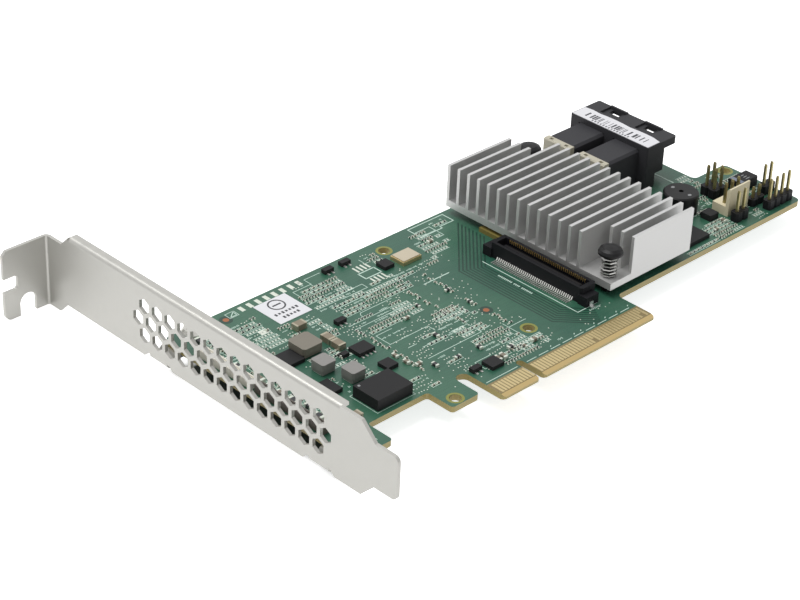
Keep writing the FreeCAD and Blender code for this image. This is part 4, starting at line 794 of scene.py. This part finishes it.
finishPiece(stamp("silkInk", inkMark, inkSpots), "label_paper", silkInk)
finishPiece(stamp("viaDots", dot, dotSpots), "tin", padTin)
finishPiece(stamp("solderPads", inkMark, padSpots), "tin", padTin)
finishPiece(stamp("chipResistors", resistor, resistorSpots), "package_black")
finishPiece(stamp("chipCapacitors", capacitor, capacitorSpots), "capacitor_brown")
print("small parts placed")

# Bundle of traces beside the board to board connector, told apart by the laminate between
bundle = {
    "count": 8, "pitch": 0.92, "first": 18.9, "wide": 0.42, "low": 14.4, "high": 45.2,
    "farX": 35.8, "endX": 27.2, "endStep": 0.5, "film": 0.4,
    "lean": math.tan(math.radians(22.5))}
gapSpots = []
for k in range(bundle["count"]):
    x = bundle["first"] + bundle["pitch"] * k
    shift = bundle["pitch"] * k * bundle["lean"]
    high = bundle["high"] - shift
    low = bundle["low"] + shift
    far = bundle["endX"] + bundle["endStep"] * k
    path([(far, low - (far - x)), (x, low), (x, high),
          (bundle["farX"], high + bundle["farX"] - x)], bundle["wide"], gapSpots,
         bundle["film"])
finishPiece(stamp("traceGaps", inkMark, gapSpots), "solder_mask", maskOnGlass)

# Two low strips on the board's edge, seen only through the vents of the bracket: moulded
# polymer, dull, one pale and one dark. The pale one has its own pale colour, lightened further as
# painted light because the bracket shades it.
edgeStrips = {"x": -52.85, "wide": 2.3, "tall": 2.2, "lip": 0.35, "sink": 0.25, "round": 0.15,
              "runs": (("paleEdgeStrip", 39.4, 58.8, "ebe7db", "beige_moulding"),
                       ("darkEdgeStrip", 15.6, 38.2, "5f5952", "black_moulding"))}
for name, low, high, colour, slot in edgeStrips["runs"]:
    deselectAll()
    bpy.ops.mesh.primitive_cube_add(
        size=mm, location=(edgeStrips["x"] * mm, (low + high) / 2 * mm,
                           edgeStrips["tall"] / 2 * mm),
        scale=(edgeStrips["wide"], high - low, edgeStrips["tall"]))
    strip = settle(nameActive(name))
    bpy.ops.object.mode_set(mode="EDIT")
    bpy.ops.mesh.select_mode(type="FACE")
    bpy.ops.mesh.select_all(action="SELECT")
    bpy.ops.mesh.bevel(offset=edgeStrips["round"] * mm, segments=2)
    bpy.ops.object.mode_set(mode="OBJECT")
    for face in strip.data.polygons:
        face.select = face.normal.z > 0.99 and face.center.z > (edgeStrips["tall"] - 0.01) * mm
    bpy.ops.object.mode_set(mode="EDIT")
    bpy.ops.mesh.inset(thickness=edgeStrips["lip"] * mm)
    raiseFaces(-edgeStrips["sink"])
    bpy.ops.object.mode_set(mode="OBJECT")
    finishPiece(strip, slot, finishSurface(name + "Moulding", colour, 0.0, 0.5, 0.4, 0.005, 0.08))

# Rings round the board holes and the two alignment targets
holes = {"ringWide": 4.3, "spots": ((11.83, 64.4), (12.56, 16.08), (110.2, 35.2), (-21.62, 6.82))}
finishPiece(stamp("holeRings", ring, [(x, y, 0, holes["ringWide"], holes["ringWide"], 0.5, 0)
                                      for x, y in holes["spots"]]), "solder_mask", ringMask)
targets = {"across": 1.6, "clear": 3.4, "spots": ((-38.8, 65.5), (10.8, 28.3))}
finishPiece(stamp("targetClearings", disc, [(x, y, 0, targets["clear"], targets["clear"], 0.4, 0)
                                            for x, y in targets["spots"]]),
            "solder_mask", maskOnGlass)
finishPiece(stamp("alignmentTargets", disc, [(x, y, 0, targets["across"], targets["across"], 1, 0)
                                             for x, y in targets["spots"]]), "gold", bareCopper)

# Print on the board label: a plain ring with a bar, and two rows of plain blocks
labelPrint = {"x": -25.4, "ringY": 62.7, "ring": 4.6, "bar": (2.6, 0.5),
              "rowY": (59.2, 57.4), "counts": (7, 5), "block": 0.62, "talls": (1, 0.7),
              "step": 1.08, "level": 0.1}
printSpots = [(labelPrint["x"], labelPrint["ringY"], labelPrint["level"], *labelPrint["bar"],
               1, 0)]
for rowY, count in zip(labelPrint["rowY"], labelPrint["counts"]):
    for k in range(count):
        printSpots.append((labelPrint["x"] + labelPrint["step"] * (k - (count - 1) / 2), rowY,
                           labelPrint["level"], labelPrint["block"],
                           draw.choice(labelPrint["talls"]), 1, 0))
# Uneven bars and a row of small blocks on the twin connector's label
barPrint = {"x": 87.9, "long": 2.4, "low": 45.4, "high": 66.0, "level": 12.5,
            "thick": (0.16, 0.24, 0.4, 0.56), "gaps": (0.22, 0.3, 0.5, 1.1), "noteX": 86.1,
            "noteLow": 50.0, "noteStep": 0.95, "noteCount": 14, "noteSize": (0.7, 0.4)}
y = barPrint["low"]
while y < barPrint["high"]:
    thick = draw.choice(barPrint["thick"])
    printSpots.append((barPrint["x"], y, barPrint["level"], barPrint["long"], thick, 1, 0))
    y += thick + draw.choice(barPrint["gaps"])
for k in range(barPrint["noteCount"]):
    printSpots.append((barPrint["noteX"], barPrint["noteLow"] + barPrint["noteStep"] * k,
                       barPrint["level"], *barPrint["noteSize"], 1, 0))
finishPiece(stamp("labelPrint", inkMark, printSpots), "label_paper", printBlack)
finishPiece(stamp("labelRing", thinRing, [(labelPrint["x"], labelPrint["ringY"],
                                           labelPrint["level"], labelPrint["ring"],
                                           labelPrint["ring"], 1, 0)]),
            "label_paper", printBlack)

# Marks on the parts: two pale spots on the sounder, a band and marks on the tantalum part,
# and a round spot on each of two packages
paleSpots = [(84.3, 29.6 + shift, 5.5, 1.1, 0.9, 1, 0) for shift in (-2.8, 2.8)]
paleSpots += [(107.2, 25.6 + 0.9 * k, 2.9, 1.9 - 0.3 * k, 0.3, 1, 0) for k in range(3)]
paleSpots += [(-37.5, 21.6, 2.9, 0.7, 0.7, 0.5, 0), (71.0, 25.4, 1.1, 0.7, 0.7, 0.5, 0)]
finishPiece(stamp("paleMarks", disc, paleSpots), "package_black", paleMark)
finishPiece(stamp("polarityBand", inkMark, [(104.2, 26.7, 2.9, 1.3, 3.7, 1, 0)]),
            "package_black", markBlue)

# Spring contacts: two rows in the long slot, and on the blades of the twin connector
stackContacts = {"count": 40, "pitch": 0.635, "middle": 30.3, "size": (0.14, 0.3),
                 "rows": ((34.12, 3.2, 0.95), (31.98, 0.9, 2.0))}
contactSpots = []
for k in range(stackContacts["count"]):
    y = stackContacts["middle"] + stackContacts["pitch"] * (k - (stackContacts["count"] - 1) / 2)
    for x, low, tall in stackContacts["rows"]:
        contactSpots.append((x, y, low + tall / 2, *stackContacts["size"], tall, 0))
portContacts = {"count": 9, "pitch": 0.7, "middles": (49.75, 61.75), "x": 90.8,
                "size": (4.0, 0.36, 0.08), "levels": (4.97, 9.23)}
for middle in portContacts["middles"]:
    for levelZ in portContacts["levels"]:
        for k in range(portContacts["count"]):
            contactSpots.append((portContacts["x"], middle + portContacts["pitch"] * (k - 4),
                                 levelZ, *portContacts["size"], 0))
finishPiece(stamp("springContacts", contact, contactSpots), "gold", contactGoldAndGlint)

# Hold-down tabs at the ends of the board to board connector
tabSpots = [(31.2, 12.95, 0.7, 1.3, 0.25, 1.4, 0), (31.2, 12.5, 0.12, 1.3, 0.9, 0.2, 0),
            (31.2, 47.65, 0.7, 1.3, 0.25, 1.4, 0), (31.2, 48.1, 0.12, 1.3, 0.9, 0.2, 0)]
finishPiece(stamp("holdDownTabs", contact, tabSpots), "tin", solderBright)

# Solder round every post on the solder side
postCones = {"pitch": 2.54, "wide": 1.7, "tall": 1.1}
postSpots = []
for headerX, headerY, across, along in ((96.33, 28.03, 2, 2), (102.75, 15.0, 4, 1),
                                        (91.2, 16.45, 2, 1), (101.0, 18.95, 2, 1),
                                        (108.1, 21.0, 2, 1), (92.3, 21.5, 3, 1)):
    for i in range(across):
        for j in range(along):
            postSpots.append((headerX + postCones["pitch"] * i,
                              headerY + postCones["pitch"] * j, boardBottom,
                              postCones["wide"], postCones["wide"], postCones["tall"], 0))
finishPiece(stamp("postSolder", solderCone, postSpots), "tin", solderBright)
print("traces, targets, print, contacts and solder placed")

for model in (inkMark, dot, disc, ring, thinRing, contact, solderCone, resistor, capacitor):
    bpy.data.objects.remove(model)

bpy.context.scene.view_settings.view_transform = "Standard"
